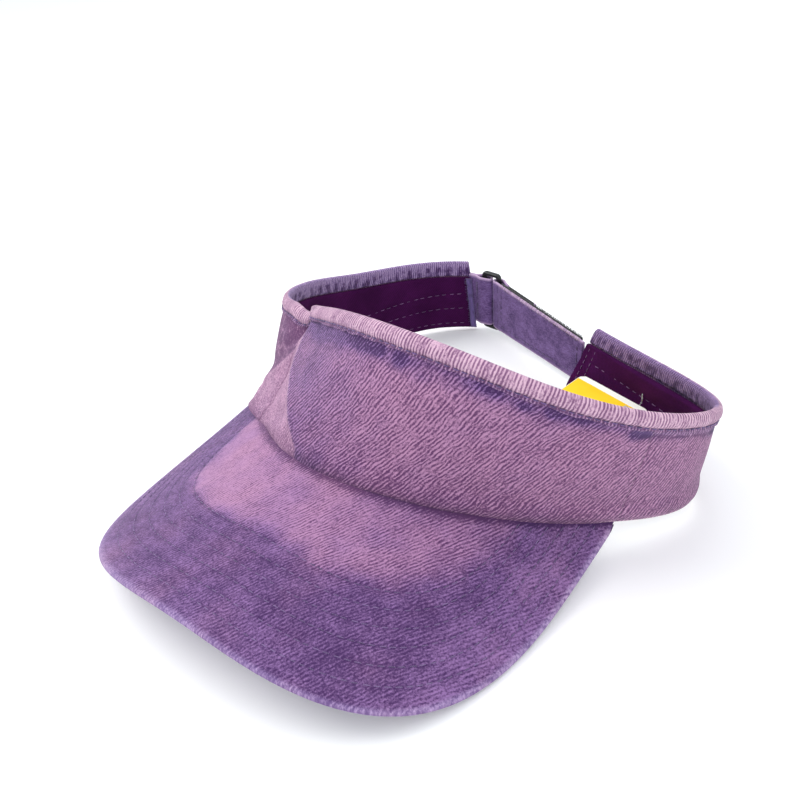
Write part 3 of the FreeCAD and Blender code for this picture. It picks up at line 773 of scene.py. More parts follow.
def make_rim():
    """The puckered binding folded over the rim."""
    picked = np.arange(band.count)
    u = band.u[picked][:, None]
    height = band.height[picked][:, None]
    out_face = RIM_GAP + RIM_THICK
    in_face = -(PANEL_THICK + RIM_GAP + RIM_THICK)
    radius = (out_face - in_face) / 2
    centre = (out_face + in_face) / 2
    arc = np.radians(np.linspace(0, 180, 11)[1:-1])
    # (millimetres below the rim, offset, kind): kind 1 is the outer face, 2 the inner one, 0 hides against the panel
    section = [
        (RIM_OUTER, out_face, 1),
        (radius / MM * (1 - np.sin(arc)), centre + radius * np.cos(arc), 1),
        (RIM_INNER, in_face, 2),
        ((8.0, 6.0, 3.0, 0.75), in_face + RIM_THICK, 0),
        ((0.75, 3.0, 5.5, 6.8, 7.5), RIM_GAP, 0),
    ]
    t, off, kind = (np.concatenate(part) for part in zip(*(np.broadcast_arrays(*run) for run in section)))
    t = t * MM
    t = np.broadcast_to(t, (len(picked), len(t))).copy()
    off = like(off, t).copy()
    kind = like(kind, t)
    pucker = rim_pucker(u)
    puff = 0.55 * MM * step(t, 0, 3) * (1 - step(t, 4.2, 1.8))
    pinch = -0.45 * MM * hill(t, 6.3, 0.55)
    gather = 0.26 * MM * pucker * step(t, 0, 2.5)
    off += (kind == 1) * (puff + pinch + gather)
    off += (kind == 2) * (-0.3 * MM * hill(t, 4, 2.5) - 0.15 * MM * pucker)
    edge = (t > 6.6 * MM) * (kind != 2)
    t += edge * 0.45 * MM * noise(u / (2.4 * MM), 0.1, 25)
    v = height - t
    full_u = like(u, v)
    # Bluer and darker along the binding's lower edge by its stitch row: partly dye left dark in the stitched groove,
    # partly painted shade in the groove. Paler and lighter on the raised gathers and darker between them: partly
    # wear on the gathers, partly painted light and painted shade that follow them.
    tone = 0.95 - 0.5 * hill(t, 7.3, 0.8) * (kind < 2)
    pale = (0.66 + 0.3 * pucker) * (1 - 0.8 * hill(t, 7.2, 1.0))
    shade = 0.5 * pucker - 1.6 * hill(t, 6.6, 0.8)
    past, from_seam = u - band.u[band.crease], u - band.u[band.seam]
    behind = step(past, -12, -12) + step(from_seam, 28, 14)
    inner = (kind == 2) * step(t, 1.2, 0.8)
    inner = np.maximum(inner, behind * (kind >= 1) * smooth((centre + 0.5 * radius - off) / (0.8 * radius)))
    far = step(from_seam, 20, 25)
    # The inner leg's gathers are painted: evenly spaced darker streaks with paler ridges between them, painted shade
    # and painted light standing in for the folds of the gathered cloth. It is also darker towards the far rear end.
    wave = np.sin(u * 2 * math.pi / (5.4 * MM) + 3.4 * noise(u / (9 * MM), 0.2, 30))
    spot = smooth(0.42 + 0.4 * wave + 0.8 * noise(u / (1.9 * MM), t / (2.2 * MM), 29))
    spot = spot * step(t, 1.6, 2.2)
    tone = tone * (1 - inner) - inner * 0.2
    pale = pale * (1 - inner) + inner * (0.72 - 0.7 * spot) * (1 - 0.5 * far)
    shade = shade * (1 - inner) + inner * (0.2 - 2.6 * spot - 0.2 * far)
    masks = {"tone": tone, "pale": np.clip(pale, 0, 1), "shade": shade}
    run = np.where(kind == 2, t + 2.5 * MM, -t)
    uv = rib_uv(full_u, run, 84, 0.6 * MM, 3)
    piece = swept("rim_binding_cloth", band.points(picked, v, off)[0], uv, masks)
    finish_piece(piece, "rim", "visor", "twill_rim", "rim_binding")

    row_v = (band.height - 6.3 * MM)[:, None]
    line, out = band.points(picked, row_v, np.full_like(row_v, out_face - 0.15 * MM))
    run = stitch_paths(line[:, 0], out[:, 0], 2.3, 0.7, 0.35, 31)
    sew("rim_stitches", [run], 0.24, "rim_thread", "visor", "thread", "rim_stitching")


def make_sweatband():
    """The dark inner band with its quilting rows, and the raw strip and the stitches at its two ends."""
    picked = np.arange(band.count)
    u = band.u[picked][:, None]
    height = band.height[picked][:, None]
    top = height - SWEAT_BELOW_RIM
    rows = 34
    up = np.linspace(0, 1, rows)
    inner = SWEAT_LIFT + 0.4 * MM + (top - SWEAT_LIFT - 0.8 * MM) * up
    face = SWEAT_FACE - SWEAT_THICK
    outer = inner[:, ::-4]
    round_top = np.radians([-60, -20, 20, 60])
    half = SWEAT_THICK / 2
    cap_v = top - 0.4 * MM + 0.4 * MM * np.cos(round_top)
    cap_off = SWEAT_FACE - half + half * np.sin(round_top)
    foot_v = np.broadcast_to(SWEAT_LIFT + 0.4 * MM - 0.4 * MM * np.cos(round_top)[::-1], (len(picked), 4))
    foot_off = cap_off[::-1]
    v = np.concatenate([inner, cap_v, outer, foot_v], 1)
    off = np.concatenate([np.full(rows, face), cap_off, np.full(outer.shape[1], SWEAT_FACE), foot_off])
    off = like(off, v).copy()
    channel = sum(hill(v, level + 0.3, 1.1) for level in QUILT_ROWS)
    pad = 0.45 * MM * noise(u / 0.012, v / 0.009, 51) - 0.35 * MM * (1 - channel)
    sag = -2.2 * MM * hill(u - band.u[-1], -55, 30) * step(v - top, -14, 10)
    inside = np.zeros(v.shape[1])
    inside[:rows] = 1
    off += inside * (pad + sag) + (1 - inside) * sag * 0.5 * (v > top - 1 * MM)
    piece = swept("sweatband_cloth", blur(band.points(picked, v, off)[0], SWEAT_BLUR), rib_uv(like(u, v), v, 62))
    finish_piece(piece, "lining", "visor", "lining_twill", "sweatband")

    runs = []
    keep = np.arange(6, band.count - 9)
    for k, level in enumerate(QUILT_ROWS):
        row_v = np.full((len(keep), 1), (level + 0.3) * MM)
        line, out = band.points(keep, row_v, np.full_like(row_v, face - 0.1 * MM))
        line = blur(line, SWEAT_BLUR)
        runs.append(stitch_paths(line[:, 0], -out[:, 0], 2.6, 1.5, 0.3, 60 + k))
    sew("sweatband_stitches", runs, 0.2, "lining_thread", "visor", "lining_thread", "sweatband_stitching")

    make_end_strip(face)
    make_end_stitches(face)


def make_end_strip(face):
    """Raw cloth strip at the right rear end, its cut edge frayed."""
    picked = np.arange(0, 4)
    top = band.height[picked][:, None] - SWEAT_BELOW_RIM - 0.5 * MM
    low = 1.0 * MM
    rows = 40
    up = np.linspace(0, 1, rows)
    line = low + (top - low) * up
    v = np.concatenate([line, line[:, ::-1]], 1)
    wave = 0.25 * MM * noise(v / (3 * MM), picked[:, None] / 4.0, 71)
    base = np.repeat([face - 0.75 * MM, face - 0.1 * MM], rows)
    rings, _ = band.points(picked, v, base + wave)
    shift = 0.5 * MM * noise(v[0] / (1.3 * MM), 0.5, 72)
    rings[-1] += band.along[picked[-1]] * shift[:, None]
    u = like(band.u[picked][:, None], v)
    shade = 0.3 + 0.7 * noise(u / MM, v / (2 * MM), 73)
    piece = swept("end_strip_cloth", rings, np.stack([v * 0.5, u], -1), {"shade": shade})
    finish_piece(piece, "raw", "visor", "raw_edge", "end_strip_right")
    frays = 46
    place = (np.arange(frays) + 0.5 + 0.4 * scatter(frays, 0, 74)) / frays
    pick_v = low + (band.height[3] - SWEAT_BELOW_RIM - 2 * MM) * place
    start, out = band.points(np.full(frays, 3), pick_v[:, None], np.full((frays, 1), face - 0.45 * MM))
    reach = (0.8 + 0.7 * scatter(frays, 1, 75))[:, None] * MM
    tilt = scatter(frays, 2, 76)[:, None] * 0.8 * MM
    place = np.linspace(0, 1, 5)[None, :, None]
    climb = unit(band.rim[3] - band.foot[3])
    paths = start + place * (band.along[3] * reach + climb * tilt)[:, None, :]
    paths = paths - place ** 2 * out * 0.5 * MM
    fray = threads("end_strip_frays", paths, out[:, 0], 0.09, sides=4)
    finish_piece(fray, "raw", "visor", "raw_edge")


def make_end_stitches(face):
    """Two upright rows of stitches by the left rear end."""
    runs = []
    for k, back in enumerate((3.2 * MM, 7.8 * MM)):
        station = int(np.searchsorted(band.u, band.u[-1] - back))
        top = band.height[station] - SWEAT_BELOW_RIM - 1 * MM
        v = np.linspace(2 * MM, top, 40)[None, :]
        line, out = band.points(np.array([station]), v, np.full_like(v, face - 0.25 * MM))
        runs.append(stitch_paths(line[0], -out[0], 2.3, 1.0, 0.3, 80 + k))
    sew("end_stitches", runs, 0.2, "lining_thread", "visor", "lining_thread", "end_stitching_left")


make_panels()
make_rim()
make_sweatband()


# ---------------------------------------------------------------- the bill

BILL_CENTRE_Y = -39.5 * MM
BILL_THICK = 2.8 * MM
NOSE = BILL_THICK / 2
COVER = 0.65 * MM
BILL_ROWS = [(8.0 + 6.5 * k) * MM for k in range(6)]
LAST_ROW = BILL_ROWS[-1]
ROW_SIDE = 0.6
ROW_POWERS = (2.976, 3.296)
SEAM_TUCK = 1.5 * MM
TIP_TUCK = 3.2 * MM


class Bill:
    """Plan outline, seam line and top surface of the bill, read from its CAD cover."""

    def __init__(self):
        chains = sharp_chains("bill_top_cover")
        front = max(chains[:2], key=lambda c: c[:, 2].mean())
        rear = max(chains[2:4], key=lambda c: c[:, 2].mean())
        front = front if front[0, 0] < front[-1, 0] else front[::-1]
        rear = rear if rear[0, 0] < rear[-1, 0] else rear[::-1]
        count = 361
        self.front = blur(resample(front, count), 2)[:, :2]
        self.rear = blur(resample(rear, count), 2)[:, :2]
        tuck = SEAM_TUCK + TIP_TUCK * step(np.abs(self.rear[:, 0]), 50, 38)
        self.rear = self.rear + np.stack([0 * tuck, tuck], -1)
        co = np.array([v.co for v in frame["nodes"]["bill_top_cover"].data.vertices])
        self.terms = np.linalg.lstsq(self.basis(co[:, 0], co[:, 1]), co[:, 2], rcond=None)[0]
        gap = co[:, 2] - self.height(co[:, 0], co[:, 1])
        top = co[gap > np.median(gap)]
        self.terms = np.linalg.lstsq(self.basis(top[:, 0], top[:, 1]), top[:, 2], rcond=None)[0]

    @staticmethod
    def basis(x, y):
        return np.stack([np.ones_like(x), y, y * y, x * x], -1)

    def height(self, x, y):
        return self.basis(x, y) @ self.terms

    def inset(self, xy):
        """Plan distance from the outer edge."""
        runs = np.diff(self.front, axis=0)
        best = np.full(len(xy), np.inf)
        for a, d, s in zip(self.front[:-1], runs, (runs ** 2).sum(1)):
            t = np.clip(((xy - a) @ d) / s, 0, 1)
            best = np.minimum(best, ((xy - a - t[:, None] * d) ** 2).sum(1))
        return np.sqrt(best)

    def row(self, front_inset):
        """Plan line of a stitch row, set in from the outer edge."""
        half = self.front[:, 0].max()
        length = BILL_CENTRE_Y - self.front[:, 1].min()
        x = self.front[:, 0] * (1 - front_inset * ROW_SIDE / half)
        ahead = np.minimum(self.front[:, 1] - BILL_CENTRE_Y, 0)
        y = self.front[:, 1] - ahead * front_inset / length
        seam = np.interp(x, self.rear[:, 0], self.rear[:, 1]) - 2 * MM
        keep = y < seam
        return np.stack([x[keep], y[keep]], -1)


bill = Bill()


def row_share(xy):
    """How far in a point is, in metres of front inset, by the same rule as the stitch rows."""
    half = bill.front[:, 0].max()
    length = BILL_CENTRE_Y - bill.front[:, 1].min()
    ahead = np.maximum(BILL_CENTRE_Y - xy[:, 1], 0)

    def inside(row):
        a = np.maximum(half - row * ROW_SIDE, 1e-6)
        b = np.maximum(length - row, 1e-6)
        return np.abs(xy[:, 0] / a) ** ROW_POWERS[0] + (ahead / b) ** ROW_POWERS[1] < 1

    return furthest(inside, len(xy), length * 0.99, 24)


def bill_cover(name, upper):
    """One of the two covers. They meet in the middle of the rounded outer edge."""
    trim = 2
    front = bill.front[trim:-trim]
    rear = bill.rear[trim:-trim]
    run = rear - front
    span = np.linalg.norm(run, axis=1)[:, None]
    edge = np.array([0, .06, .15, .3, .5, .75, 1.05, 1.4, 2.0, 3.0]) * MM
    rows = 60
    share = np.linspace(0, 1, rows)[None]
    near = np.minimum(edge / span, share[:, :len(edge)])
    last = near[:, -1:]
    rest = last + (1 - last) * np.linspace(0, 1, rows - len(edge) + 1)[None, 1:]
    cut = np.concatenate([near, rest], 1)
    xy = front[:, None] + run[:, None] * cut[..., None]
    flat = xy.reshape(-1, 2)
    inset = bill.inset(flat)
    depth = np.clip(inset / NOSE, 0, 1)
    nose = NOSE * (1 - np.sqrt(1 - (1 - depth) ** 2))
    top = bill.height(flat[:, 0], flat[:, 1])
    share_in = row_share(flat)
    groove = sum(hill(share_in - row, 0, 0.75) for row in BILL_ROWS)
    inner_zone = step(share_in - LAST_ROW, 0, 4)
    swell = 0.10 * MM * noise(flat[:, 0] / 0.022, flat[:, 1] / 0.02, 91) + 0.22 * MM * inner_zone
    if upper:
        outer = top - nose - 0.20 * MM * groove + swell * step(inset, 0, 4)
        hidden = top - np.minimum(NOSE, nose + COVER)
    else:
        outer = top - BILL_THICK + nose + 0.15 * MM * groove
        hidden = top - BILL_THICK + np.minimum(NOSE, nose + COVER)
    shape = xy.shape[:2]
    a = np.concatenate([flat, outer[:, None]], 1).reshape(*shape, 3)
    b = np.concatenate([flat, hidden[:, None]], 1).reshape(*shape, 3)
    rings = np.concatenate([a, b[:, ::-1]], 1)
    x, y = flat[:, 0], flat[:, 1]
    border = LAST_ROW + 2.5 * MM * noise(x / 0.008, y / 0.008, 92) + 1.5 * MM * noise(x / 0.02, y / 0.02, 94)
    side = step(x, -85, 160)
    soft = 10 * MM + 9 * MM * side
    pink = smooth((share_in - border + soft * 0.4) / soft)
    tone = 0.12 + 0.58 * pink * (1 - 0.25 * side) + 0.12 * noise(x / 0.012, y / 0.012, 96)
    width = 3.4 * MM - 2.0 * MM * side
    worn = 0.75 * (1 - smooth((inset - 0.2 * MM) / width)) + 0.16 * (1 - side) * (1 - step(inset, 0, 12))
    # Painted shade in the recess where the bill runs under the band's foot.
    seam_y = np.interp(x, bill.rear[:, 0], bill.rear[:, 1] - SEAM_TUCK)
    recess_shade = hill(np.maximum(seam_y - y, 0), 0, 2.5)
    shade = (1.33 - 0.84 * side) * pink - 0.31 - 0.25 * side - 2.2 * recess_shade + 0.5 * step(x, 60, 20)
    # Darker along the stitch grooves as painted shade in them, and along the innermost row a dashed darker line,
    # painted shade in its groove between the stitches.
    shade += 0.25 * noise(x / 0.03, y / 0.03, 93) - 0.4 * groove * (share_in > 4 * MM)
    dashes = smooth(1.4 * noise(x / (1.5 * MM), y / (1.5 * MM), 97) + 0.5) * (1 - side)
    shade = shade - 1.5 * dashes * hill(share_in - LAST_ROW, 0, 0.8)
    uv = rib_uv(x, y, 67, 1.2 * MM, 9)

    def doubled(values):
        grid = values.reshape(*shape, *values.shape[1:])
        return np.concatenate([grid, grid[:, ::-1]], 1)

    masks = {"tone": tone, "pale": np.clip(worn, 0, 1), "plain": 0.55 * (1 - pink), "shade": shade}
    return swept(name, rings, doubled(uv), {key: doubled(values) for key, values in masks.items()})


def make_bill():
    """Both covers, the board inside them and the rows of stitches."""
    covers = (("bill_top_cloth", "bill_top_cover"), ("bill_under_cloth", "bill_under_cover"))
    for name, node in covers:
        piece = bill_cover(name, upper=node == "bill_top_cover")
        finish_piece(piece, "bill", "visor", "twill_bill", node)
    board = frame["nodes"]["bill_board"]
    board.data.materials.clear()
    board.data.materials.append(MATERIALS["board"])
    runs = []
    for k, row in enumerate(BILL_ROWS):
        plan = bill.row(row)
        plan = resample(plan, 4 * len(plan))
        z = bill.height(plan[:, 0], plan[:, 1])
        tilt = np.stack([-2 * bill.terms[3] * plan[:, 0], -bill.terms[1] - 2 * bill.terms[2] * plan[:, 1],
                         np.ones(len(plan))], -1)
        for sign, lift in ((1, -0.18 * MM), (-1, -BILL_THICK + 0.18 * MM)):
            line = np.concatenate([plan, (z + lift)[:, None]], 1)
            runs.append(stitch_paths(line, sign * unit(tilt), 2.6, 0.8, 0.24, 95 + k))
    sew("bill_stitches", runs, 0.17, "bill_thread", "visor", "thread", "bill_stitching")


make_bill()


# ---------------------------------------------------------------- the back closure

JOINTS = {j["name"]: j for j in frame["joints"]}
TAB_BAR = np.array(JOINTS["ring_swing"]["pos_m"])
STRAP_BAR = np.array(JOINTS["tail_peel"]["pos_m"])
STRAP_DIR = np.array(JOINTS["tail_slide"]["axis"])
STRAP_FOOT = STRAP_BAR * (1, 1, 0)
OUT = np.array([-STRAP_DIR[1], STRAP_DIR[0], 0.0])
RING_DIR = unit(STRAP_BAR - TAB_BAR)
UP = np.array([0.0, 0.0, 1.0])
LEG_FACE = 1.9 * MM
STRAP_THICK = 1.2 * MM
TAIL_THICK = 1.0 * MM
TAIL_FACE = 0.24 * MM
STRAP_LOW = float(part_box("strap")[0].z)
STRAP_HIGH = float(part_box("tail_base")[1].z)
STRAP_DROOP = 0.06
FOLD_STRETCH = 1.18
FOLD_INSET = 0.3 * MM
FOLD_SQUARE = 2.3
TAPE_FOOT = 2 * MM
TAPE_OVER = 0.7 * MM
TAPE_THICK = 0.9 * MM
RING_BAR = 1.3 * MM
RING_END_HIGH = 1.1 * MM
RING_END_WIDE = 1.5 * MM
RING_CORNER = 1.5 * MM
TAB_AWAY = np.array([math.cos(math.radians(185)), math.sin(math.radians(185)), 0.0])
TAB_SIDE = np.cross(UP, TAB_AWAY)
TAB_CLOTH = 1.1 * MM
TAB_LEG = 0.57 * MM
TAB_LOOP = 2.5 * MM
TAB_TUCK = 1.2 * MM
TAB_BENDS = [
    (-1.0, 2.5), (-4.0, 2.4), (-4.6, 2.0), (-4.8, 1.2), (-4.5, 0.2), (-3.8, -1.1), (-2.7, -2.1), (-1.0, -2.5)]


def strap_point(a, z, off):
    """Point at distance a along the strap from its bar, height z and offset off outwards."""
    a, z, off = np.broadcast_arrays(a, z, off)
    return STRAP_FOOT + a[..., None] * STRAP_DIR + off[..., None] * OUT + z[..., None] * UP


def strap_top(a):
    """Height of the strap's upper edge."""
    return STRAP_HIGH - STRAP_DROOP * np.maximum(a, 0)


def worn_masks(along, z, from_edge, seed):
    """Masks of the strap's pieces: pale along the edges, mottled all over."""
    pale = 0.9 * (1 - step(from_edge, 0, 1.1))
    return {"pale": np.clip(pale, 0, 1), "shade": 0.4 * noise(along / 0.008, z / 0.006, seed)}


def cloth_leaf(name, a, low, high, near, far, wave=None):
    """Upright strip of cloth with rounded edges between two offsets, along stations a of the strap."""
    rows = 26
    low = like(low, a)
    half = abs(far - near) / 2
    mid = (far + near) / 2
    up = np.linspace(0, 1, rows)
    arc = np.radians(np.linspace(-90, 90, 6))[1:-1]
    inner_z = low[:, None] + half + (high - low - 2 * half)[:, None] * up
    cap_z = high[:, None] - half + half * np.cos(arc)
    foot_z = low[:, None] + half - half * np.cos(arc)[None, ::-1]
    z = np.concatenate([inner_z, cap_z, inner_z[:, ::-1], foot_z], 1)
    off = np.concatenate([np.full(rows, mid - half), mid + half * np.sin(arc), np.full(rows, mid + half),
                          mid + half * np.sin(arc)[::-1]])
    off = like(off, z).copy()
    if wave is not None:
        off += wave(a[:, None], z)
    rings = strap_point(a[:, None], z, off)
    masks = worn_masks(a[:, None], z, np.minimum(z - low[:, None], high[:, None] - z), 101)
    return swept(name, rings, np.stack([like(a[:, None], z), z + (off - mid)], -1), masks)


def whip_paths(a, z, near, far, seed):
    """Overcast stitches round an edge: half loops from the near face, over the edge, to the far face."""
    count = len(a)
    turn = np.linspace(0, math.pi, 7)
    half = (far - near) / 2 + 0.12 * MM
    mid = (far + near) / 2
    lean = 0.5 * MM * np.linspace(-0.5, 0.5, 7)
    jitter = 0.25 * MM * scatter(count, 0, seed)
    off = mid + np.cos(turn) * half
    depth = 1.15 * MM + 0.25 * MM * scatter(count, 1, seed)
    rise = np.sin(turn)
    height = z[:, None] + 0.12 * MM - depth[:, None] * (1 - rise)
    return strap_point(a[:, None] + jitter[:, None] + lean, height, off)


def leg_wave(a, z):
    """Soft waviness of the strap's inner leg."""
    return 0.28 * MM * noise(a / 0.016, z / 0.02, 103) * step(a, 5, 10)


def make_strap():
    """The strap's inner leg with its overcast edges, the loop tape behind it and the tape's stitches."""
    a = np.linspace(4.0, 72.5, 90) * MM
    inner_face = -LEG_FACE - STRAP_THICK
    piece = cloth_leaf("strap_cloth", a, STRAP_LOW, strap_top(a), inner_face, -LEG_FACE - 0.05 * MM, leg_wave)
    finish_piece(piece, "strap", "strap", "strap_twill", "strap")

    at = np.linspace(5.0, 69.5, 96) * MM
    paths = whip_paths(at, strap_top(at), inner_face, -LEG_FACE, 105)
    whip = threads("strap_overcast", paths, np.tile(UP, (len(at), 1)), 0.26)
    finish_piece(whip, "overcast", "strap", "thread")

    a = np.linspace(5.0, 70.0, 78) * MM
    face = -LEG_FACE + 0.02 * MM
    low, high = STRAP_LOW + TAPE_FOOT, strap_top(a) + TAPE_OVER
    tape_piece = cloth_leaf("loop_tape_cloth", a, low, high, face, face + TAPE_THICK)
    finish_piece(tape_piece, "loops", "strap", "grip_tape", "loop_tape")

    runs = tape_stitches(a[0], a[-1], inner_face - 0.05 * MM, -1, 107)
    sew("loop_tape_stitches", runs, 0.17, "thread", "strap", "thread", "loop_tape_stitching")

    loops = 1080
    along = 33 * MM + 36 * MM * (0.5 + 0.5 * scatter(loops, 0, 108))
    high = STRAP_LOW + 3 * MM + (strap_top(along) - STRAP_LOW - 2.6 * MM) * (0.5 + 0.5 * scatter(loops, 1, 109))
    edge = np.arange(loops) % 4 == 0
    high = np.where(edge, strap_top(along) + 0.4 * MM, high)
    lean = 0.6 * MM * scatter(loops, 2, 110)
    turn = np.linspace(0, math.pi, 6)
    wide = 0.35 * MM
    tall = 0.2 * MM + 0.1 * MM * scatter(loops, 3, 111)
    out = face + 0.85 * MM + np.sin(turn) * tall[:, None]
    up = high[:, None] + np.cos(turn) * wide + 0.5 * MM * edge[:, None] * np.sin(turn)
    side = along[:, None] + lean[:, None] * np.linspace(0, 1, 6)
    fuzz = threads("loop_fuzz", strap_point(side, up, out), np.tile(OUT, (loops, 1)), 0.05, sides=4)
    finish_piece(fuzz, "loops", "strap", "grip_tape")


def tape_stitches(first, last, face, side, seed):
    """Stitches in a rectangle just inside a tape's edge. side is -1 or 1, the way the face looks along OUT."""
    inset = 1.5 * MM
    low = STRAP_LOW + 2 * MM + inset
    corners = np.array([(first + inset, low), (last - inset, low), (last - inset, strap_top(last) - inset),
                        (first + inset, strap_top(first) - inset), (first + inset, low)])
    runs = []
    for k in range(4):
        at = corners[k] + (corners[k + 1] - corners[k]) * np.linspace(0, 1, 60)[:, None]
        line = strap_point(at[:, 0], at[:, 1], face)
        runs.append(stitch_paths(line, like(side * OUT, line), 2.4, 0.8, 0.24, seed + k))
    return runs


def fold_ring(turn, inner, outer, rows):
    """Ring of points for one station of the fold round the bar, at a turn angle in the plan."""
    square = (abs(math.cos(turn)) ** FOLD_SQUARE + math.sin(turn) ** FOLD_SQUARE) ** (-1 / FOLD_SQUARE)
    square = square if math.cos(turn) < 0 else 1.0
    outward = (math.cos(turn) * OUT - FOLD_STRETCH * math.sin(turn) * STRAP_DIR) * square
    z = np.linspace(STRAP_LOW + FOLD_INSET, STRAP_HIGH - FOLD_INSET, rows)
    near = STRAP_FOOT + outward * inner + z[:, None] * UP
    far = STRAP_FOOT + outward * outer + z[::-1, None] * UP
    return np.concatenate([near, far])


def make_tail():
    """The strap's fold round the ring bar, its tail with the hook patch, and their stitches."""
    low = STRAP_LOW
    rings = []
    rows = 24
    for s in np.linspace(5.0, 0.4, 8) * MM:
        z = np.linspace(low, strap_top(s), rows)
        thick = TAIL_THICK + 0.16 * MM * step(s, 0, 4)
        rings.append(np.concatenate([strap_point(s, z, -LEG_FACE), strap_point(s, z[::-1], -LEG_FACE - thick)]))
    for turn in np.radians(np.linspace(180, 0, 25)):
        rings.append(fold_ring(turn, LEG_FACE, LEG_FACE + TAIL_THICK, rows))
    for s in np.linspace(0.6, 8.0, 12) * MM:
        near = LEG_FACE + (TAIL_FACE - LEG_FACE) * step(s, 0, 8)
        z = np.linspace(low, strap_top(s), rows)
        rings.append(np.concatenate([strap_point(s, z, near), strap_point(s, z[::-1], near + TAIL_THICK)]))
    rings = np.array(rings)
    path = lengths(rings[:, 0])
    z = rings[..., 2]
    masks = worn_masks(path[:, None], z, np.minimum(z - low, STRAP_HIGH - z), 121)
    fold = swept("strap_fold", rings, np.stack([like(path[:, None], z), z], -1), masks)
    finish_piece(fold, "strap", None, "strap_twill", "tail_base")
    start, end = (strap_point(0.0, 0.02, off).tolist() for off in (-LEG_FACE, LEG_FACE))
    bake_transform(fold)

    a = np.concatenate([np.linspace(7.9, 14.0, 10), np.linspace(14.8, 31.0, 22)]) * MM
    high = strap_top(a) - FOLD_INSET
    tail = cloth_leaf("strap_tail", a, low + FOLD_INSET, high, TAIL_FACE, TAIL_FACE + TAIL_THICK)
    finish_piece(tail, "strap", None, "strap_twill", "tail_end")
    start, end = (strap_point(place * MM, 0.02, 0.0).tolist() for place in (8.2, 13.5))
    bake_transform(tail)

    a = np.linspace(9.5, 30.5, 30) * MM
    face = -0.68 * MM
    patch = cloth_leaf("hook_patch_cloth", a, low + TAPE_FOOT, strap_top(a) + TAPE_OVER, face, face + TAPE_THICK)
    finish_piece(patch, "hooks", "tail_end", "grip_tape", "hook_patch")
    runs = tape_stitches(a[0], a[-1], TAIL_FACE + TAIL_THICK + 0.05 * MM, 1, 127)
    sew("hook_patch_stitches", runs, 0.17, "thread", "tail_end", "thread", "hook_patch_stitching")


def make_ring():
    """The moulded ring: a rounded loop, thicker at its two end bars."""
    low, high = (c.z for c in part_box("ring"))
    pitch = float(np.linalg.norm(STRAP_BAR - TAB_BAR))
    left, right = -pitch / 2 + RING_CORNER, pitch / 2 - RING_CORNER
    foot, top = low + RING_END_HIGH + RING_CORNER, high - RING_END_HIGH - RING_CORNER
    corners = np.array([(right, foot), (right, top), (left, top), (left, foot)])
    path, outs = [], []
    for k in range(4):
        straight = 7 if k % 2 else 22
        angle = np.radians(90 * k - 90 + np.append(np.linspace(0, 90, 9), np.full(straight, 90)))
        slide = np.append(np.zeros(9), np.linspace(0, 1, straight + 2)[1:-1])[:, None]
        outs.append(np.stack([np.cos(angle), np.sin(angle)], -1))
        path.append(corners[k] + (corners[(k + 1) % 4] - corners[k]) * slide + RING_CORNER * outs[-1])
    path, outs = np.concatenate(path), np.concatenate(outs)
    weight = np.abs(outs[:, 1:])
    middle = (TAB_BAR + STRAP_BAR) / 2 * (1, 1, 0)
    side = np.cross(UP, RING_DIR)
    turn = np.arange(20) * 2 * math.pi / 20
    c, s = (np.sign(wave) * np.abs(wave) ** 0.8 for wave in (np.cos(turn), np.sin(turn)))
    across = RING_BAR + (RING_END_WIDE - RING_BAR) * weight
    thick = RING_BAR + (RING_END_HIGH - RING_BAR) * weight
    spot = middle + path[:, :1] * RING_DIR + path[:, 1:] * UP
    out = outs[:, :1] * RING_DIR + outs[:, 1:] * UP
    verts = spot[:, None] + (thick * c)[..., None] * out[:, None] + (across * s)[..., None] * side
    ring = mesh_piece("ring_moulding", verts, quads(len(path), 20))
    finish_piece(ring, "black", "ring", "black_plastic", "ring")


def tab_line(height):
    """Middle line of the tab's cloth in plan at a height: down one leg, round the ring's first bar, up the other."""
    foot, rim = band.foot[0], band.rim[0]
    share = (height - foot[2]) / (rim[2] - foot[2])
    end = foot + share * (rim - foot) + band.outward[0, 2] * SWEAT_FACE - TAB_BAR
    reach = end @ TAB_AWAY + TAB_TUCK
    aside = end @ TAB_SIDE
    x = np.linspace(reach, 0.3 * MM, 22)
    middle = aside * smooth((x - 4 * MM) / (reach - 4 * MM))
    gap = TAB_LEG + (TAB_LOOP - TAB_LEG) * step(x, 6.0, -5.4)
    loop = blur(resample(np.array(TAB_BENDS) * MM, 40), 1.5)
    first = np.stack([x, middle + gap], -1)
    last = np.stack([x, middle - gap], -1)[::-1]
    return np.concatenate([first, loop, last])


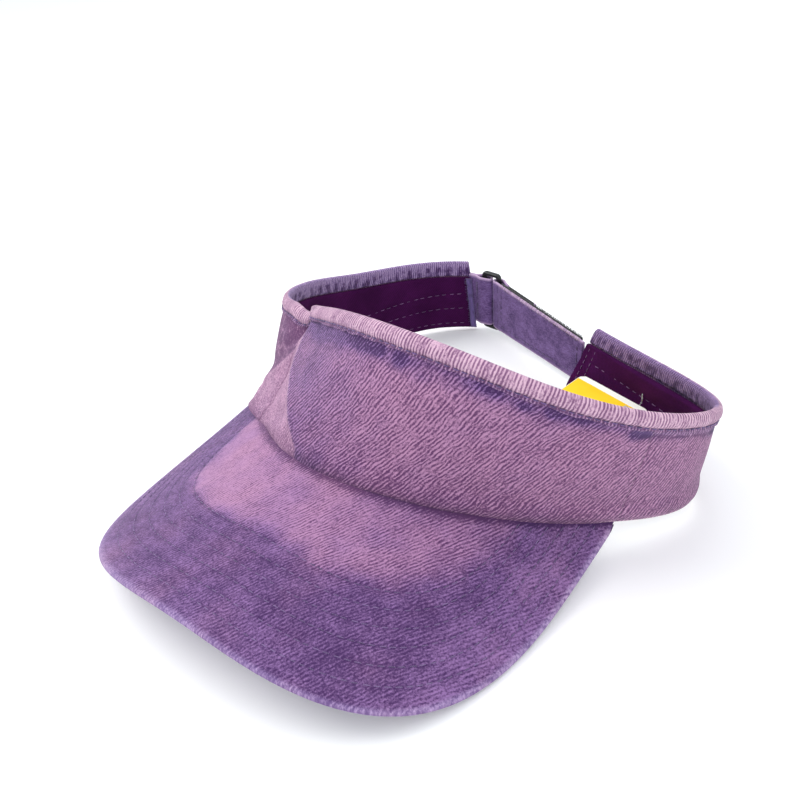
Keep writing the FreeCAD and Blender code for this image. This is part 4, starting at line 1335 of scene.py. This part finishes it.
def make_tab():
    """The cloth tab, folded round the ring's first bar and sewn into the band's end, and its bar tacks."""
    base = TAB_BAR * (1, 1, 0)
    half = 0.5 * TAB_CLOTH
    levels = np.linspace(STRAP_LOW + 0.25 * MM, STRAP_HIGH - 0.25 * MM, 22)
    levels = np.concatenate([[STRAP_LOW], levels, [STRAP_HIGH]])
    rings = []
    for k, height in enumerate(levels):
        line = tab_line(height)
        along = unit(np.gradient(line, axis=0))
        normal = np.stack([-along[:, 1], along[:, 0]], -1)
        wide = half * (0.6 if k in (0, len(levels) - 1) else 1.0)
        plan = np.concatenate([line + normal * wide, (line - normal * wide)[::-1]])
        rings.append(base + plan[:, :1] * TAB_AWAY + plan[:, 1:] * TAB_SIDE + UP * height)
    rings = np.array(rings)
    z = rings[..., 2]
    run = np.concatenate([lengths(line), lengths(line)[::-1]])
    uv = np.stack([like(run, z), z], -1)
    from_edge = np.minimum(z - STRAP_LOW, STRAP_HIGH - z)
    masks = {"pale": 0.9 * (1 - step(from_edge, 0, 1)), "shade": 0.3 * noise(uv[..., 0] / 0.006, z / 0.006, 131)}
    tab = swept("ring_tab_cloth", rings, uv, masks)
    finish_piece(tab, "strap", "visor", "strap_twill", "ring_tab")
    tacks = []
    for k in range(2):
        low = STRAP_LOW + 3.0 * MM + k * 12.5 * MM
        for j in range(15):
            height = low + j * 0.6 * MM
            line = tab_line(height)[:22]
            x = np.linspace(4.4, 3.2, 6) * MM
            arch = 0.1 * MM + 0.2 * MM * np.sin(np.linspace(0, math.pi, 6))
            y = np.interp(x, line[::-1, 0], line[::-1, 1]) + half + arch
            spot = base + x[:, None] * TAB_AWAY + y[:, None] * TAB_SIDE
            tacks.append(spot + (height + 0.2 * MM * (j % 2)) * UP)
    rows = threads("bar_tacks", np.array(tacks), np.tile(TAB_SIDE, (len(tacks), 1)), 0.24)
    finish_piece(rows, "thread", "visor", "thread", "tab_bar_tacks")


make_strap()
make_tail()
make_ring()
make_tab()


# ---------------------------------------------------------------- the hang tag and its pin

TAG_CORNER = np.array([37.7, 60.7, 18.0]) * MM
TAG_ANGLE = -18.4
TAG_TILT = 12.5
TAG_SIZE = (40.0 * MM, 80.0 * MM)
TAG_THICK = 0.5 * MM
TAG_HOLE = np.array([33.0, 5.0]) * MM
TAG_HOLE_RADIUS = 1.6 * MM
TAG_CORNER_RADIUS = 3.0 * MM
PIN_RADIUS = 0.35 * MM
PIN_BAR_RADIUS = 0.7 * MM


def tag_axes():
    """Across, along and normal directions of the card."""
    turn, tilt = math.radians(TAG_ANGLE), math.radians(TAG_TILT)
    across = np.array([math.cos(turn), math.sin(turn), 0.0])
    level = np.array([math.sin(turn), -math.cos(turn), 0.0])
    along = level * math.cos(tilt) - UP * math.sin(tilt)
    return across, along, np.cross(along, across)


def tag_point(x, y, lift):
    """Point of the gently bowed card, across and along from its corner and lifted off its lower face."""
    across, along, normal = tag_axes()
    x, y, lift = np.broadcast_arrays(x, y, lift)
    bow = 0.5 * MM * (4 * ((y / TAG_SIZE[1]) - 0.5) ** 2 - 1) * -0.6
    return TAG_CORNER + x[..., None] * across + y[..., None] * along + (lift + bow)[..., None] * normal


def make_tag():
    """Punched card with round corners, and the nylon pin through its hole."""
    count = 120
    angle = np.arange(count) * 2 * math.pi / count
    d = np.stack([np.cos(angle), np.sin(angle)], -1)
    lo, hi = TAG_CORNER_RADIUS, np.array(TAG_SIZE) - TAG_CORNER_RADIUS

    def inside(reach):
        p = TAG_HOLE + d * reach[:, None]
        return np.linalg.norm(p - np.clip(p, lo, hi), axis=1) <= TAG_CORNER_RADIUS

    far = furthest(inside, count, 0.12, 40)
    share = np.concatenate([[0, 0.02, 0.06], np.linspace(0.12, 0.94, 14), [0.97, 0.99, 1.0]])
    reach = TAG_HOLE_RADIUS + (far - TAG_HOLE_RADIUS)[:, None] * share
    x = TAG_HOLE[0] + d[:, :1] * reach
    y = TAG_HOLE[1] + d[:, 1:] * reach
    rings = np.concatenate([tag_point(x, y, TAG_THICK), tag_point(x, y, 0.0)[:, ::-1]], 1)
    rim = like(smooth((share - 0.985) / 0.015), x)
    edge = np.concatenate([rim, rim[:, ::-1]], 1)
    uv = np.stack([x, y], -1)
    uv = np.concatenate([uv, uv[:, ::-1]], 1)
    card_piece = mesh_piece("hang_tag_card", rings, quads(count, rings.shape[1]), uv, {"edge": edge})
    finish_piece(card_piece, "card", "tag", "tag_card", "hang_tag")

    anchor = np.array(JOINTS["tag_swing"]["pos_m"])
    column, row = TAG_HOLE
    knots = [tag_point(column, y, lift) for y, lift in (
        (row, 1.2 * MM), (row, -0.4 * MM), (row - 2 * MM, -1.7 * MM), (-2.5 * MM, -1.0 * MM))]
    knots = np.array([*knots, anchor * 0.6 + knots[-1] * 0.4 + UP * 0.8 * MM, anchor])
    curve = bpy.data.curves.new("pin", "CURVE")
    curve.dimensions = "3D"
    line = curve.splines.new("NURBS")
    line.points.add(len(knots) - 1)
    for point, k in zip(line.points, knots):
        point.co = (*k.tolist(), 1.0)
    line.order_u = 3
    line.use_endpoint_u = True
    line.resolution_u = 10
    holder = bpy.data.objects.new("pin_line", curve)
    path = np.array([v.co[:] for v in bpy.data.meshes.new_from_object(holder).vertices])
    bpy.data.objects.remove(holder)
    verts, faces = tube(resample(path, 40), PIN_RADIUS, 12)
    across = tag_axes()[0]
    head = knots[0] + across * np.linspace(-3.0, 3.0, 25)[:, None] * MM
    girth = PIN_BAR_RADIUS * np.sqrt(np.maximum(1 - np.abs(np.linspace(-1, 1, 25)) ** 6, 0.02))
    more, more_faces = tube(head, girth, 14)
    faces = faces + [[i + len(verts) for i in f] for f in more_faces]
    pin = mesh_piece("tag_pin_nylon", np.concatenate([verts, more]), faces)
    finish_piece(pin, "nylon", "tag", "clear_nylon", "tag_pin")


def tube(path, radius, sides):
    """Points and faces of a capped round tube along a path."""
    along = unit(np.gradient(path, axis=0))
    helper = np.where(np.abs(along[:, 2:]) < 0.9, UP, np.array([1.0, 0, 0]))
    side = unit(np.cross(along, helper))
    lift = np.cross(side, along)
    turn = np.arange(sides) * 2 * math.pi / sides
    size = np.broadcast_to(radius, len(path))[:, None, None]
    ring = np.cos(turn)[None, :, None] * side[:, None] + np.sin(turn)[None, :, None] * lift[:, None]
    verts = (path[:, None] + size * ring).reshape(-1, 3)
    return verts, quads(len(path), sides, loop=False)


make_tag()
